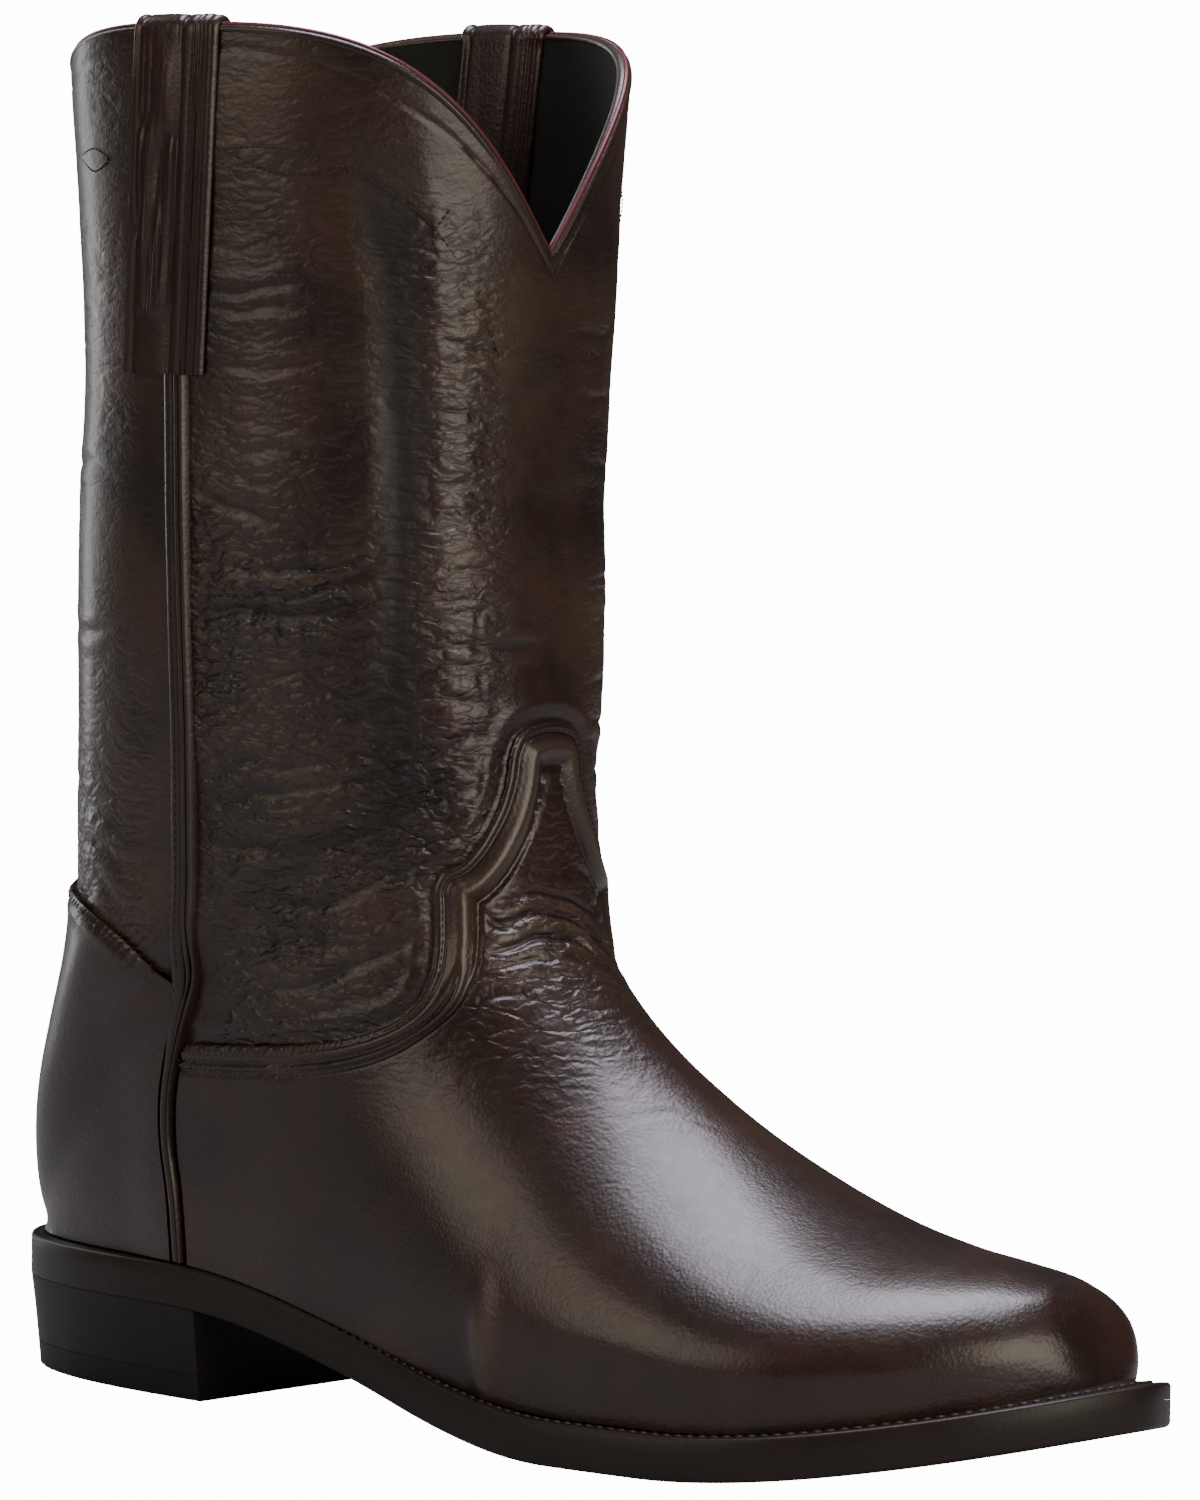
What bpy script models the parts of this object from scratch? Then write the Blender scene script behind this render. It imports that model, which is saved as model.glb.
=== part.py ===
"""A right roper boot: leather shaft and foot, corded side seams, pull straps, welted sole and low heel.

X runs from the heel to the toe, Y to the wearer's left, which is the inner side, and Z up. The origin
is the middle of the heel's underside. Plan positions below are measured from the back of the sole.
"""
import math

import bmesh
import bpy
import numpy as np
from mathutils import Vector
from mathutils.bvhtree import BVHTree

MM = 0.001

# Sole and heel
sole_length = 303 * MM
ball_width = 101 * MM
heel_width = 68 * MM
heel_length = 78 * MM
heel_height = 21 * MM
heel_top_inset = 0.45 * MM
heel_foot_inset = 2.2 * MM
heel_cap_thickness = 6 * MM
outsole_thickness = 5.8 * MM
welt_thickness = 3.6 * MM
insole_thickness = 3 * MM
toe_spring = 13 * MM
edge_round = 0.9 * MM

# Foot of the upper on the welt
welt_margin = 6.5 * MM
waist_margin = 2.5 * MM
heel_margin = 3.2 * MM
welt_ledge = 4 * MM

# Upper
wall = 2.0 * MM
overlay = 1.1 * MM
instep_height = 104 * MM
shaft_height = 303 * MM
shaft_depth = 129 * MM
shaft_width = 107 * MM
shaft_centre = 88.5 * MM
notch_depth = 49 * MM
back_dip = 28 * MM

# Trim
bead_radius = 1.2 * MM
seam_width = 7 * MM
seam_height = 1.8 * MM
seam_lift = 0.85 * MM
strap_width = 24.5 * MM
strap_thickness = 2.0 * MM
strap_outer_length = 74 * MM
strap_inner_length = 62 * MM
strap_lean = 6.5 * MM

# Clearance between pieces that touch, under a piece that lies on curved leather, and where a straight
# facet faces a curved edge
gap = 0.3 * MM
lay_gap = 0.5 * MM
edge_gap = 1.0 * MM

# Points nearer than this are one point, and edges sharper than this stay sharp
merge_distance = 0.003 * MM
sharp_angle = 40

# Steps along the outline of the sole, a plate of the sole, the welt, the heel seat, a side seam,
# a cutter's edge, and the outer run, the fold and the inner run of a pull strap
OUTLINE_STEPS = 720
PLATE_STEPS = 26
WELT_STEPS = 46
SEAT_STEPS = 22
SEAM_STEPS = 19
CUT_STEPS = 24
STRAP_STEPS = (5, 6, 4)

# Outline of the sole: place along sole_length, width, and shift of the middle towards the inner side.
# Width and shift are shares of heel_width in the heel's rows and of ball_width in the others.
SOLE_PLAN = [
    # length, width, shift, across
    (0.000, 0.000, 0.000, "heel"),
    (0.012, 0.360, 0.000, "heel"),
    (0.045, 0.660, 0.000, "heel"),
    (0.100, 0.870, 0.000, "heel"),
    (0.165, 0.980, -0.002, "heel"),
    (0.240, 1.000, -0.016, "heel"),
    (0.330, 0.655, -0.023, "ball"),
    (0.430, 0.660, -0.036, "ball"),
    (0.520, 0.755, -0.030, "ball"),
    (0.610, 0.890, 0.004, "ball"),
    (0.690, 0.985, 0.060, "ball"),
    (0.760, 0.998, 0.093, "ball"),
    (0.830, 0.925, 0.120, "ball"),
    (0.895, 0.755, 0.150, "ball"),
    (0.945, 0.560, 0.175, "ball"),
    (0.980, 0.335, 0.196, "ball"),
    (0.996, 0.130, 0.208, "ball"),
    (1.000, 0.000, 0.211, "ball"),
]

# How far the foot of the upper stands in from the edge of the sole. length: along sole_length.
# share: of the named margin.
FOOT_MARGINS = [
    # length, share, margin
    (0.00, 1.00, heel_margin),
    (0.12, 1.00, heel_margin),
    (0.30, 1.00, waist_margin),
    (0.42, 1.00, waist_margin),
    (0.58, 0.85, welt_margin),
    (0.75, 1.00, welt_margin),
    (1.00, 1.05, welt_margin),
]

# Where the sole leaves the floor, along sole_length
arch_start = 0.635
arch_end = 0.215
spring_start = 0.72
spring_power = 1.7

# Form of the upper above the sole, by the place where a row ends on the sole, heel first.
# end and ridge: places along the foot of the upper and along sole_length.
# high: height of the ridge, of instep_height. shift: of the ridge to the inner side, of ball_width.
# belly: how far the sides swell past the foot of the upper, of ball_width.
# middle: where a row is widest on its way from end to ridge.
# low_round and high_round: fullness below and above that place, 2 for an ellipse and more for squarer.
FOOT_FORM = [
    # end, ridge, high, shift, belly, middle, low_round, high_round
    (0.000, 0.4990, 1.442, 0.000, 0.070, 0.55, 2.2, 2.6),
    (0.032, 0.4995, 1.375, 0.000, 0.064, 0.54, 2.2, 2.6),
    (0.070, 0.5000, 1.320, 0.000, 0.060, 0.53, 2.2, 2.6),
    (0.125, 0.5010, 1.260, 0.000, 0.054, 0.51, 2.15, 2.6),
    (0.195, 0.5020, 1.195, 0.002, 0.046, 0.48, 2.1, 2.5),
    (0.275, 0.5050, 1.125, 0.003, 0.036, 0.44, 2.0, 2.35),
    (0.360, 0.5150, 1.045, 0.006, 0.028, 0.40, 2.0, 2.15),
    (0.445, 0.5380, 0.950, 0.015, 0.022, 0.36, 2.0, 1.95),
    (0.525, 0.5750, 0.840, 0.032, 0.018, 0.32, 2.0, 1.80),
    (0.600, 0.6240, 0.722, 0.055, 0.015, 0.31, 2.0, 1.76),
    (0.670, 0.6820, 0.608, 0.080, 0.014, 0.32, 2.0, 1.78),
    (0.740, 0.7450, 0.520, 0.106, 0.014, 0.33, 2.0, 1.84),
    (0.810, 0.8110, 0.470, 0.132, 0.014, 0.34, 2.0, 1.92),
    (0.875, 0.8700, 0.446, 0.155, 0.013, 0.34, 2.0, 2.0),
    (0.930, 0.9180, 0.424, 0.175, 0.012, 0.35, 2.0, 2.05),
    (0.972, 0.9480, 0.393, 0.190, 0.010, 0.35, 2.0, 2.1),
    (0.993, 0.9620, 0.352, 0.200, 0.006, 0.36, 2.0, 2.1),
    (1.000, 0.9660, 0.310, 0.200, 0.000, 0.36, 2.0, 2.1),
]

# Ends of the rows that are built, toe first, closest where the foot of the upper turns
ROW_ENDS = [1.0, 0.993, 0.972, 0.930, 0.875, 0.815, 0.755, 0.700, 0.645, 0.590, 0.537, 0.486, 0.436,
            0.386, 0.336, 0.286, 0.236, 0.186, 0.136, 0.086, 0.044, 0.014, 0.0]

# Rows round the ankle, whose ends climb the back. end and ridge: along sole_length. end_high and
# ridge_high: of instep_height. half: half the width, of shaft_width.
ANKLE_ROWS = [
    # end, end_high, ridge, ridge_high, half, middle, round
    (0.021, 0.452, 0.4985, 1.489, 0.392, 0.54, 2.5),
    (0.036, 0.656, 0.4980, 1.553, 0.404, 0.53, 2.5),
    (0.068, 0.874, 0.4975, 1.623, 0.416, 0.52, 2.45),
    (0.080, 1.107, 0.4970, 1.701, 0.430, 0.51, 2.4),
    (0.086, 1.369, 0.4965, 1.786, 0.444, 0.50, 2.4),
    (0.087, 1.632, 0.4960, 1.879, 0.456, 0.50, 2.35),
]

# The straight shaft, from shaft_base of instep_height up. high: of shaft_height. front and back: from
# shaft_centre, of shaft_depth. half: half the width, of shaft_width.
SHAFT_ROWS = [
    # high, front, back, half, round
    (0.490, 0.474, 0.486, 0.440, 2.35),
    (0.570, 0.474, 0.484, 0.456, 2.35),
    (0.660, 0.474, 0.472, 0.466, 2.35),
    (0.770, 0.480, 0.460, 0.475, 2.3),
    (0.880, 0.492, 0.470, 0.487, 2.3),
    (1.000, 0.516, 0.498, 0.500, 2.3),
]
shaft_base = 1.923
shaft_steps = 9
notch_power = 2.9
dip_power = 2.2

# Facets of a row on each side: from the sole or the back to the widest place, and on to the front
LOW_FACETS = 5
HIGH_FACETS = 8

# A row's widest place is at least this much wider than its foot
least_swell = 1.02

# How far up the ankle rows the vamp's form reaches, and how far forward along the foot the counter's does
VAMP_ANKLE_ROWS = 3
counter_reach = 0.4

# Side seam, from the welt up. high: of instep_height. place: along sole_length.
SIDE_SEAM = [
    # high, place
    (0.233, 0.238),
    (0.452, 0.238),
    (0.554, 0.234),
    (0.656, 0.237),
    (0.757, 0.247),
    (0.874, 0.260),
    (1.311, 0.280),
    (1.748, 0.286),
    (2.913, 0.286),
]

# Upper edge of the vamp from the side seam to its shoulder. place: along sole_length.
# high: of instep_height.
VAMP_LINE = [
    # place, high
    (0.262, 0.750),
    (0.328, 0.752),
    (0.394, 0.750),
    (0.430, 0.775),
    (0.456, 0.815),
    (0.471, 0.880),
    (0.476, 0.945),
    (0.4745, 1.060),
    (0.4725, 1.157),
]

# Tongue of the vamp, from its shoulder to its tip. half: of shaft_width. high: of instep_height.
TONGUE_LINE = [
    # half, high
    (0.240, 1.140),
    (0.226, 1.157),
    (0.184, 1.167),
    (0.154, 1.208),
    (0.125, 1.260),
    (0.107, 1.343),
    (0.102, 1.425),
    (0.070, 1.462),
    (0.000, 1.475),
]

# Upper edge of the counter from the side seam to the back. place: along sole_length.
# high: of instep_height.
COUNTER_LINE = [
    # place, high
    (0.275, 0.875),
    (0.233, 0.950),
    (0.190, 1.015),
    (0.150, 1.052),
    (0.080, 1.115),
    (-0.100, 1.270),
]

# The side seam's two cords. across: of half its width. high: of seam_height.
SEAM_RIDGES = [
    # across, high
    (-1.00, 0.30),
    (-0.76, 0.95),
    (-0.40, 1.00),
    (0.00, 0.45),
    (0.40, 1.00),
    (0.76, 0.95),
    (1.00, 0.30),
]

# A pull strap with its rolled edges. across: of half its width. high: of strap_thickness.
STRAP_RIDGES = [
    # across, high
    (-1.00, 0.70),
    (-0.80, 1.15),
    (-0.60, 0.80),
    (0.00, 0.85),
    (0.60, 0.80),
    (0.80, 1.15),
    (1.00, 0.70),
]

LEATHER = ("cherry_brown_leather", (0.035, 0.018, 0.014), 0.34)
VAMP_LEATHER = ("cherry_brown_vamp_leather", (0.040, 0.020, 0.015), 0.30)
BINDING = ("burgundy_binding", (0.120, 0.020, 0.022), 0.45)
SOLE_EDGE = ("dark_edge_leather", (0.022, 0.017, 0.014), 0.38)
LINING = ("tan_insole_leather", (0.300, 0.170, 0.090), 0.60)
RUBBER = ("black_rubber", (0.012, 0.012, 0.012), 0.65)


def clear_scene():
    """Remove everything from the scene."""
    for item in list(bpy.data.objects):
        bpy.data.objects.remove(item, do_unlink=True)


def material(finish):
    """Make or reuse a Principled material from its name, colour and roughness."""
    name, colour, roughness = finish
    made = bpy.data.materials.get(name)
    if made is None:
        made = bpy.data.materials.new(name)
        made.use_nodes = True
        shader = made.node_tree.nodes["Principled BSDF"]
        shader.inputs["Base Color"].default_value = (*colour, 1.0)
        shader.inputs["Roughness"].default_value = roughness
        shader.inputs["Metallic"].default_value = 0.0
    return made


def smooth(knots, values, at):
    """Read a smooth curve through the knots at the places asked."""
    knots = np.asarray(knots, float)
    values = np.asarray(values, float)
    at = np.clip(np.asarray(at, float), knots[0], knots[-1])
    step = np.diff(knots)
    slope = np.diff(values) / step
    tangent = np.empty_like(values)
    tangent[1:-1] = (slope[:-1] * step[1:] + slope[1:] * step[:-1]) / (step[:-1] + step[1:])
    tangent[0] = 1.5 * slope[0] - 0.5 * tangent[1]
    tangent[-1] = 1.5 * slope[-1] - 0.5 * tangent[-2]
    i = np.clip(np.searchsorted(knots, at, side="right") - 1, 0, len(step) - 1)
    t = (at - knots[i]) / step[i]
    rise = (2 * t**3 - 3 * t**2 + 1) * values[i] + (3 * t**2 - 2 * t**3) * values[i + 1]
    bend = (t**3 - 2 * t**2 + t) * tangent[i] + (t**3 - t**2) * tangent[i + 1]
    return rise + bend * step[i]


def column(table, index):
    """One column of a table."""
    return [row[index] for row in table]


def plan_outline(count=OUTLINE_STEPS):
    """Closed outline of the sole, from the back of the heel along the right side to the toe and back."""
    right, left = [], []
    for length, width, shift, across in SOLE_PLAN:
        size = heel_width if across == "heel" else ball_width
        right.append((length * sole_length, (shift - width / 2) * size))
        left.append((length * sole_length, (shift + width / 2) * size))
    loop = np.array(right + left[-2:0:-1])
    around = np.concatenate([loop[-3:], loop, loop[:4]])
    chord = np.linalg.norm(np.diff(around, axis=0), axis=1) ** 0.5
    chord = np.concatenate([[0], np.cumsum(chord)])
    fine = np.linspace(chord[3], chord[3 + len(loop)], 8 * count, endpoint=False)
    curve = np.stack([smooth(chord, around[:, k], fine) for k in range(2)], 1)
    run = np.concatenate([[0], np.cumsum(np.linalg.norm(np.diff(curve, axis=0), axis=1))])
    even = np.linspace(0, run[-1], count, endpoint=False)
    return np.stack([np.interp(even, run, curve[:, k]) for k in range(2)], 1)


def upper_margin(x):
    """How far the foot of the upper stands in from the edge of the sole."""
    margins = [share * margin for length, share, margin in FOOT_MARGINS]
    return smooth(column(FOOT_MARGINS, 0), margins, x / sole_length)


def inset(loop, distance):
    """Move each point of the outline inwards."""
    along = np.roll(loop, -1, 0) - np.roll(loop, 1, 0)
    along /= np.linalg.norm(along, axis=1)[:, None]
    inward = np.stack([-along[:, 1], along[:, 0]], 1)
    return loop + inward * np.broadcast_to(distance, len(loop))[:, None]


def sides(loop):
    """Split a loop at its back and toe into its right and left side, both running forward."""
    loop = np.roll(loop, -int(np.argmin(loop[:, 0])), 0)
    toe = int(np.argmax(loop[:, 0]))
    return loop[:toe + 1], np.concatenate([loop[toe:], loop[:1]])[::-1]


def side_y(pair, x):
    """Right and left edge of a split loop at x."""
    return tuple(np.interp(x, side[:, 0], side[:, 1]) for side in pair)


def tread(x):
    """Height of the outsole's underside: on the floor at the ball, up to the heel and up to the toe."""
    share = np.asarray(x, float) / sole_length
    back = np.clip((arch_start - share) / (arch_start - arch_end), 0, 1)
    front = np.clip((share - spring_start) / (1 - spring_start), 0, 1)
    return heel_height * (3 * back**2 - 2 * back**3) + toe_spring * front**spring_power


def seat(x):
    """Height of the top of the welt, which carries the upper."""
    return tread(x) + outsole_thickness + gap + welt_thickness


def collar_height(share):
    """Height of the collar, by how far round from the front (0) by the side (1) to the back (2)."""
    front = np.clip(1 - share, 0, 1)
    back = np.clip(share - 1, 0, 1)
    return shaft_height - notch_depth * front**notch_power - back_dip * back**dip_power


def section(end, ridge, half, foot, middle, low_round, high_round):
    """One row across the boot, from its right foot over the ridge to its left foot."""
    end, ridge = np.array(end, float), np.array(ridge, float)
    start = math.acos((foot / half) ** (low_round / 2)) if foot > 0 else math.pi / 2
    reach = middle / math.sin(start) ** (2 / low_round)
    places = []
    for j in range(LOW_FACETS):
        turn = start * (1 - j / LOW_FACETS)
        places.append((middle - reach * math.sin(turn) ** (2 / low_round),
                       half * max(math.cos(turn), 0) ** (2 / low_round)))
    for j in range(HIGH_FACETS + 1):
        turn = math.pi / 2 * j / HIGH_FACETS
        places.append((middle + (1 - middle) * math.sin(turn) ** (2 / high_round),
                       half * max(math.cos(turn), 0) ** (2 / high_round)))
    places[-1] = (1.0, 0.0)
    if foot <= 0:
        places[0] = (0.0, 0.0)
    right = [end + (ridge - end) * s - np.array((0, y, 0)) for s, y in places]
    left = [end + (ridge - end) * s + np.array((0, y, 0)) for s, y in places]
    return np.array(right + left[-2::-1])


def foot_rows(feather):
    """The rows that end on the sole."""
    pair = sides(feather)
    back, toe = feather[:, 0].min(), feather[:, 0].max()
    ends = column(FOOT_FORM, 0)
    rows = []
    for end in ROW_ENDS:
        form = [float(smooth(ends, column(FOOT_FORM, c), end)) for c in range(1, 8)]
        ridge, high, shift, belly, middle, low_round, high_round = form
        end_x = back + (toe - back) * end
        ridge_x = ridge * sole_length
        right, left = side_y(pair, end_x)
        wide_right, wide_left = side_y(pair, end_x + (ridge_x - end_x) * middle)
        low = (end_x, (right + left) / 2, seat(end_x) + lay_gap)
        top = (ridge_x, shift * ball_width, high * instep_height)
        foot = (left - right) / 2 if end > 0 else 0
        half = max((wide_left - wide_right) / 2 + belly * ball_width, least_swell * foot)
        if end == 1.0:
            rows.append(toe_row(low, top))
        else:
            rows.append(section(low, top, half, foot, middle, low_round, high_round))
    return rows


def toe_row(low, top):
    """The foremost row, a plain line up the toe."""
    low, top = np.array(low, float), np.array(top, float)
    count = LOW_FACETS + HIGH_FACETS
    side = [low + (top - low) * j / count for j in range(count + 1)]
    return np.array(side + side[-2::-1])


def ankle_rows():
    """The rows that tilt from the heel to the front of the ankle."""
    rows = []
    for end, end_high, ridge, ridge_high, half, middle, fullness in ANKLE_ROWS:
        low = (end * sole_length, 0, end_high * instep_height)
        top = (ridge * sole_length, 0, ridge_high * instep_height)
        rows.append(section(low, top, half * shaft_width, 0, middle, fullness, fullness))
    return rows


def shaft_point(height, index):
    """Point of the shaft at a height, on the facet line with this index."""
    highs = column(SHAFT_ROWS, 0)
    share = height / shaft_height
    front, back, half, fullness = (float(smooth(highs, column(SHAFT_ROWS, c), share)) for c in range(1, 5))
    low = (shaft_centre - back * shaft_depth, 0, height)
    top = (shaft_centre + front * shaft_depth, 0, height)
    return section(low, top, half * shaft_width, 0, 0.5, fullness, fullness)[index]


def shaft_rows():
    """The rows of the straight shaft, the last one along the collar."""
    side = np.concatenate([np.linspace(2, 1, LOW_FACETS + 1)[:-1], np.linspace(1, 0, HIGH_FACETS + 1)])
    top = collar_height(np.concatenate([side, side[-2::-1]]))
    base = shaft_base * instep_height
    rows = []
    for k in range(shaft_steps + 1):
        heights = base + (top - base) * k / shaft_steps
        rows.append(np.array([shaft_point(z, j) for j, z in enumerate(heights)]))
    return rows


def boot_rows():
    """Every row of the upper's outer surface, from the toe to the collar."""
    outline = plan_outline()
    feather = inset(outline, upper_margin(outline[:, 0]))
    return np.array(foot_rows(feather) + ankle_rows() + shaft_rows())


def add_object(name, mesh, finish, collection, boot):
    """Put a mesh in the collection as a named object that hangs on the boot's empty."""
    item = bpy.data.objects.new(name, mesh)
    item.data.materials.clear()
    item.data.materials.append(material(finish))
    collection.objects.link(item)
    item.parent = boot
    mesh.shade_smooth()
    mesh.set_sharp_from_angle(angle=math.radians(sharp_angle))
    return item


def mesh_from(name, points, faces):
    """A mesh from points and faces with its doubles merged and its faces pointing out."""
    work = bmesh.new()
    verts = [work.verts.new(p) for p in points]
    for face in faces:
        work.faces.new([verts[i] for i in face])
    bmesh.ops.remove_doubles(work, verts=work.verts, dist=merge_distance)
    bmesh.ops.dissolve_degenerate(work, edges=work.edges, dist=merge_distance)
    bmesh.ops.recalc_face_normals(work, faces=work.faces)
    mesh = bpy.data.meshes.new(name)
    work.to_mesh(mesh)
    work.free()
    return mesh


def surface_mesh(name, rows, lift=0.0, first=0, last=None):
    """An open surface through the rows from first to last, lifted off the whole form along its normals."""
    wide = rows.shape[1]
    last = len(rows) - 1 if last is None else last
    work = bmesh.new()
    verts = [work.verts.new(p) for p in rows.reshape(-1, 3)]
    wanted = work.faces.layers.int.new("wanted")
    for k in range(len(rows) - 1):
        for j in range(wide - 1):
            a = k * wide + j
            face = work.faces.new([verts[i] for i in (a, a + 1, a + wide + 1, a + wide)])
            face[wanted] = int(first <= k < last)
    bmesh.ops.remove_doubles(work, verts=work.verts, dist=merge_distance)
    bmesh.ops.dissolve_degenerate(work, edges=work.edges, dist=merge_distance)
    bmesh.ops.triangulate(work, faces=work.faces, quad_method="SHORT_EDGE")
    work.normal_update()
    moves = [(vert, vert.normal * lift) for vert in work.verts]
    for vert, move in moves:
        vert.co += move
    spare = [face for face in work.faces if not face[wanted]]
    bmesh.ops.delete(work, geom=spare, context="FACES")
    mesh = bpy.data.meshes.new(name)
    work.to_mesh(mesh)
    work.free()
    return mesh


def solidify(item, thickness, side):
    """Give an open surface its wall, inwards with side -1 and outwards with side 1."""
    modifier = item.modifiers.new("Wall", "SOLIDIFY")
    modifier.thickness = thickness
    modifier.offset = side
    modifier.use_even_offset = False
    modifier.use_quality_normals = True


def cut(item, cutter, operation):
    """Boolean a piece with a cutter."""
    modifier = item.modifiers.new("Cut", "BOOLEAN")
    modifier.operation = operation
    modifier.object = cutter
    modifier.solver = "EXACT"


def make_upper(rows, collection, boot):
    """The shaft and foot as one hollow leather wall, open at the collar and underneath."""
    item = add_object("upper", surface_mesh("upper", rows), LEATHER, collection, boot)
    solidify(item, wall, -1)
    return item


def prism(name, outline, axis, low, high, cutters, boot):
    """A flat outline of two coordinates, extruded along Y or X from low to high."""
    work = bmesh.new()
    points = []
    for a, b in outline:
        points.append((a, low, b) if axis == "Y" else (low, a, b))
    face = work.faces.new([work.verts.new(p) for p in points])
    step = Vector((0, high - low, 0)) if axis == "Y" else Vector((high - low, 0, 0))
    made = bmesh.ops.extrude_face_region(work, geom=[face])
    moved = [v for v in made["geom"] if isinstance(v, bmesh.types.BMVert)]
    bmesh.ops.translate(work, verts=moved, vec=step)
    bmesh.ops.recalc_face_normals(work, faces=work.faces)
    mesh = bpy.data.meshes.new(name)
    work.to_mesh(mesh)
    work.free()
    item = bpy.data.objects.new(name, mesh)
    item.hide_render = True
    item.display_type = "WIRE"
    cutters.objects.link(item)
    item.parent = boot
    return item


def seam_place(height):
    """Where the side seam lies along the sole, at a height."""
    return sole_length * smooth(column(SIDE_SEAM, 0), column(SIDE_SEAM, 1), height / instep_height)


def seam_edge(high, offset, count=CUT_STEPS // 2):
    """The side seam's line in the side view, from the welt up, moved forward by an offset."""
    low = float(seat(seam_place(0.0) + offset)) + lay_gap
    heights = np.linspace(low, high, count)
    return [(float(seam_place(z)) + offset, float(z)) for z in heights]


def welt_edge(start, stop, count=CUT_STEPS):
    """The line just above the welt in the side view."""
    return [(float(x), float(seat(x)) + lay_gap) for x in np.linspace(start, stop, count)]


def make_vamp(rows, collection, cutters, boot):
    """Leather overlay of the toe and instep with its tongue."""
    surface = surface_mesh("vamp", rows, gap, 0, len(ROW_ENDS) + VAMP_ANKLE_ROWS)
    item = add_object("vamp", surface, VAMP_LEATHER, collection, boot)
    solidify(item, overlay, 1)
    clear = seam_width / 2 + edge_gap
    line = [(place * sole_length, high * instep_height) for place, high in VAMP_LINE]
    edge = seam_edge(line[0][1], clear)
    ahead = sole_length + welt_margin
    outline = edge + line[1:] + [(ahead, line[-1][1])] + welt_edge(ahead, edge[0][0])[:-1]
    body = prism("vamp_cutter", outline, "Y", -ball_width, ball_width, cutters, boot)
    tongue = [(half * shaft_width, high * instep_height) for half, high in TONGUE_LINE]
    outline = tongue + [(-y, z) for y, z in tongue[-2::-1]]
    front = prism("tongue_cutter", outline, "X", shaft_centre, sole_length, cutters, boot)
    cut(body, front, "UNION")
    cut(item, body, "INTERSECT")
    return item


def make_counter(rows, collection, cutters, boot):
    """Leather overlay round the heel, up to a point at the back."""
    first = next(k for k, end in enumerate(ROW_ENDS) if end < counter_reach)
    surface = surface_mesh("counter", rows, gap, first, len(ROW_ENDS) + len(ANKLE_ROWS))
    item = add_object("counter", surface, LEATHER, collection, boot)
    solidify(item, overlay, 1)
    clear = seam_width / 2 + edge_gap
    line = [(place * sole_length, high * instep_height) for place, high in COUNTER_LINE]
    edge = seam_edge(line[0][1], -clear)
    outline = edge + line[1:] + welt_edge(line[-1][0], edge[0][0], CUT_STEPS // 4)[:-1]
    body = prism("counter_cutter", outline, "Y", -ball_width, ball_width, cutters, boot)
    cut(item, body, "INTERSECT")
    return item


def loft(name, loops, finish, collection, boot):
    """A solid through loops of points, each of the same count, with its ends capped."""
    size = len(loops[0])
    points = [p for loop in loops for p in loop]
    faces = []
    for k in range(len(loops) - 1):
        for j in range(size):
            a, b = k * size + j, k * size + (j + 1) % size
            faces.append((a, b, b + size, a + size))
    half = size // 2
    for first in (0, (len(loops) - 1) * size):
        for j in range(half - 1):
            faces.append((first + j, first + j + 1, first + size - 2 - j, first + size - 1 - j))
    return add_object(name, mesh_from(name, points, faces), finish, collection, boot)


def drape(tree, x, z, side, inside):
    """Point of the upper's outer or inner face on the right (-1) or left (1) side, at x and z."""
    if inside:
        start, way = Vector((x, 0, z)), Vector((0, side, 0))
    else:
        start, way = Vector((x, side * sole_length, z)), Vector((0, -side, 0))
    return tree.ray_cast(start, way)[0]


def make_side_seam(name, side, tree, collection, boot):
    """The corded seam from the pull strap down to the welt."""
    low = float(seat(seam_place(0.0))) + edge_gap
    high = shaft_height - strap_outer_length - 2 * edge_gap
    heights, step = np.linspace(low, high, SEAM_STEPS, retstep=True)
    loops = []
    for z in heights:
        place = float(seam_place(z))
        lower, upper_points = [], []
        for across, share in SEAM_RIDGES:
            x = place + across * seam_width / 2
            near = [drape(tree, x, max(z + move, low), side, False).y for move in (-step / 2, 0, step / 2)]
            y = max(near, key=abs)
            lower.append((x, y + side * seam_lift, z))
            upper_points.append((x, y + side * (seam_lift + share * seam_height), z))
        loops.append(lower + upper_points[::-1])
    return loft(name, loops, LEATHER, collection, boot)


def strap_centre(z):
    """Middle of a pull strap along the sole, leaning forward by strap_lean in all towards its top."""
    drop = (shaft_height - z) / strap_outer_length
    return float(seam_place(shaft_height)) + strap_lean / 2 - strap_lean * min(drop, 1.0)


def make_pull_strap(name, side, tree, collection, boot):
    """A leather strap folded over the collar, with thicker edges."""
    top = shaft_height - edge_gap
    bead_centre = shaft_height + gap + bead_radius
    outer_steps, fold_steps, inner_steps = STRAP_STEPS
    paths = []
    for across, share in STRAP_RIDGES:
        inner, outer = [], []
        reach = across * strap_width / 2
        thick = share * strap_thickness
        for z in np.linspace(top - strap_outer_length, top, outer_steps):
            x = strap_centre(z) + reach
            y = drape(tree, x, z, side, False).y + side * lay_gap
            inner.append((x, y, z))
            outer.append((x, y + side * thick, z))
        x = strap_centre(top) + reach
        y_out = drape(tree, x, top, side, False).y + side * lay_gap
        y_in = drape(tree, x, top, side, True).y - side * lay_gap
        middle = (y_out + y_in) / 2
        radius = max(abs(y_out - y_in) / 2, bead_radius + lay_gap)
        for turn in np.linspace(0, math.pi, fold_steps + 1):
            c, s = math.cos(turn), math.sin(turn)
            inner.append((x, middle + side * c * radius, bead_centre + s * radius))
            outer.append((x, middle + side * c * (radius + thick), bead_centre + s * (radius + thick)))
        for z in np.linspace(top, top - strap_inner_length, inner_steps):
            x = strap_centre(z) + reach
            y = drape(tree, x, z, side, True).y - side * lay_gap
            inner.append((x, y, z))
            outer.append((x, y - side * thick, z))
        paths.append((inner, outer))
    loops = []
    for k in range(len(paths[0][0])):
        loops.append([inner[k] for inner, outer in paths] + [outer[k] for inner, outer in paths[::-1]])
    return loft(name, loops, LEATHER, collection, boot)


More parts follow.
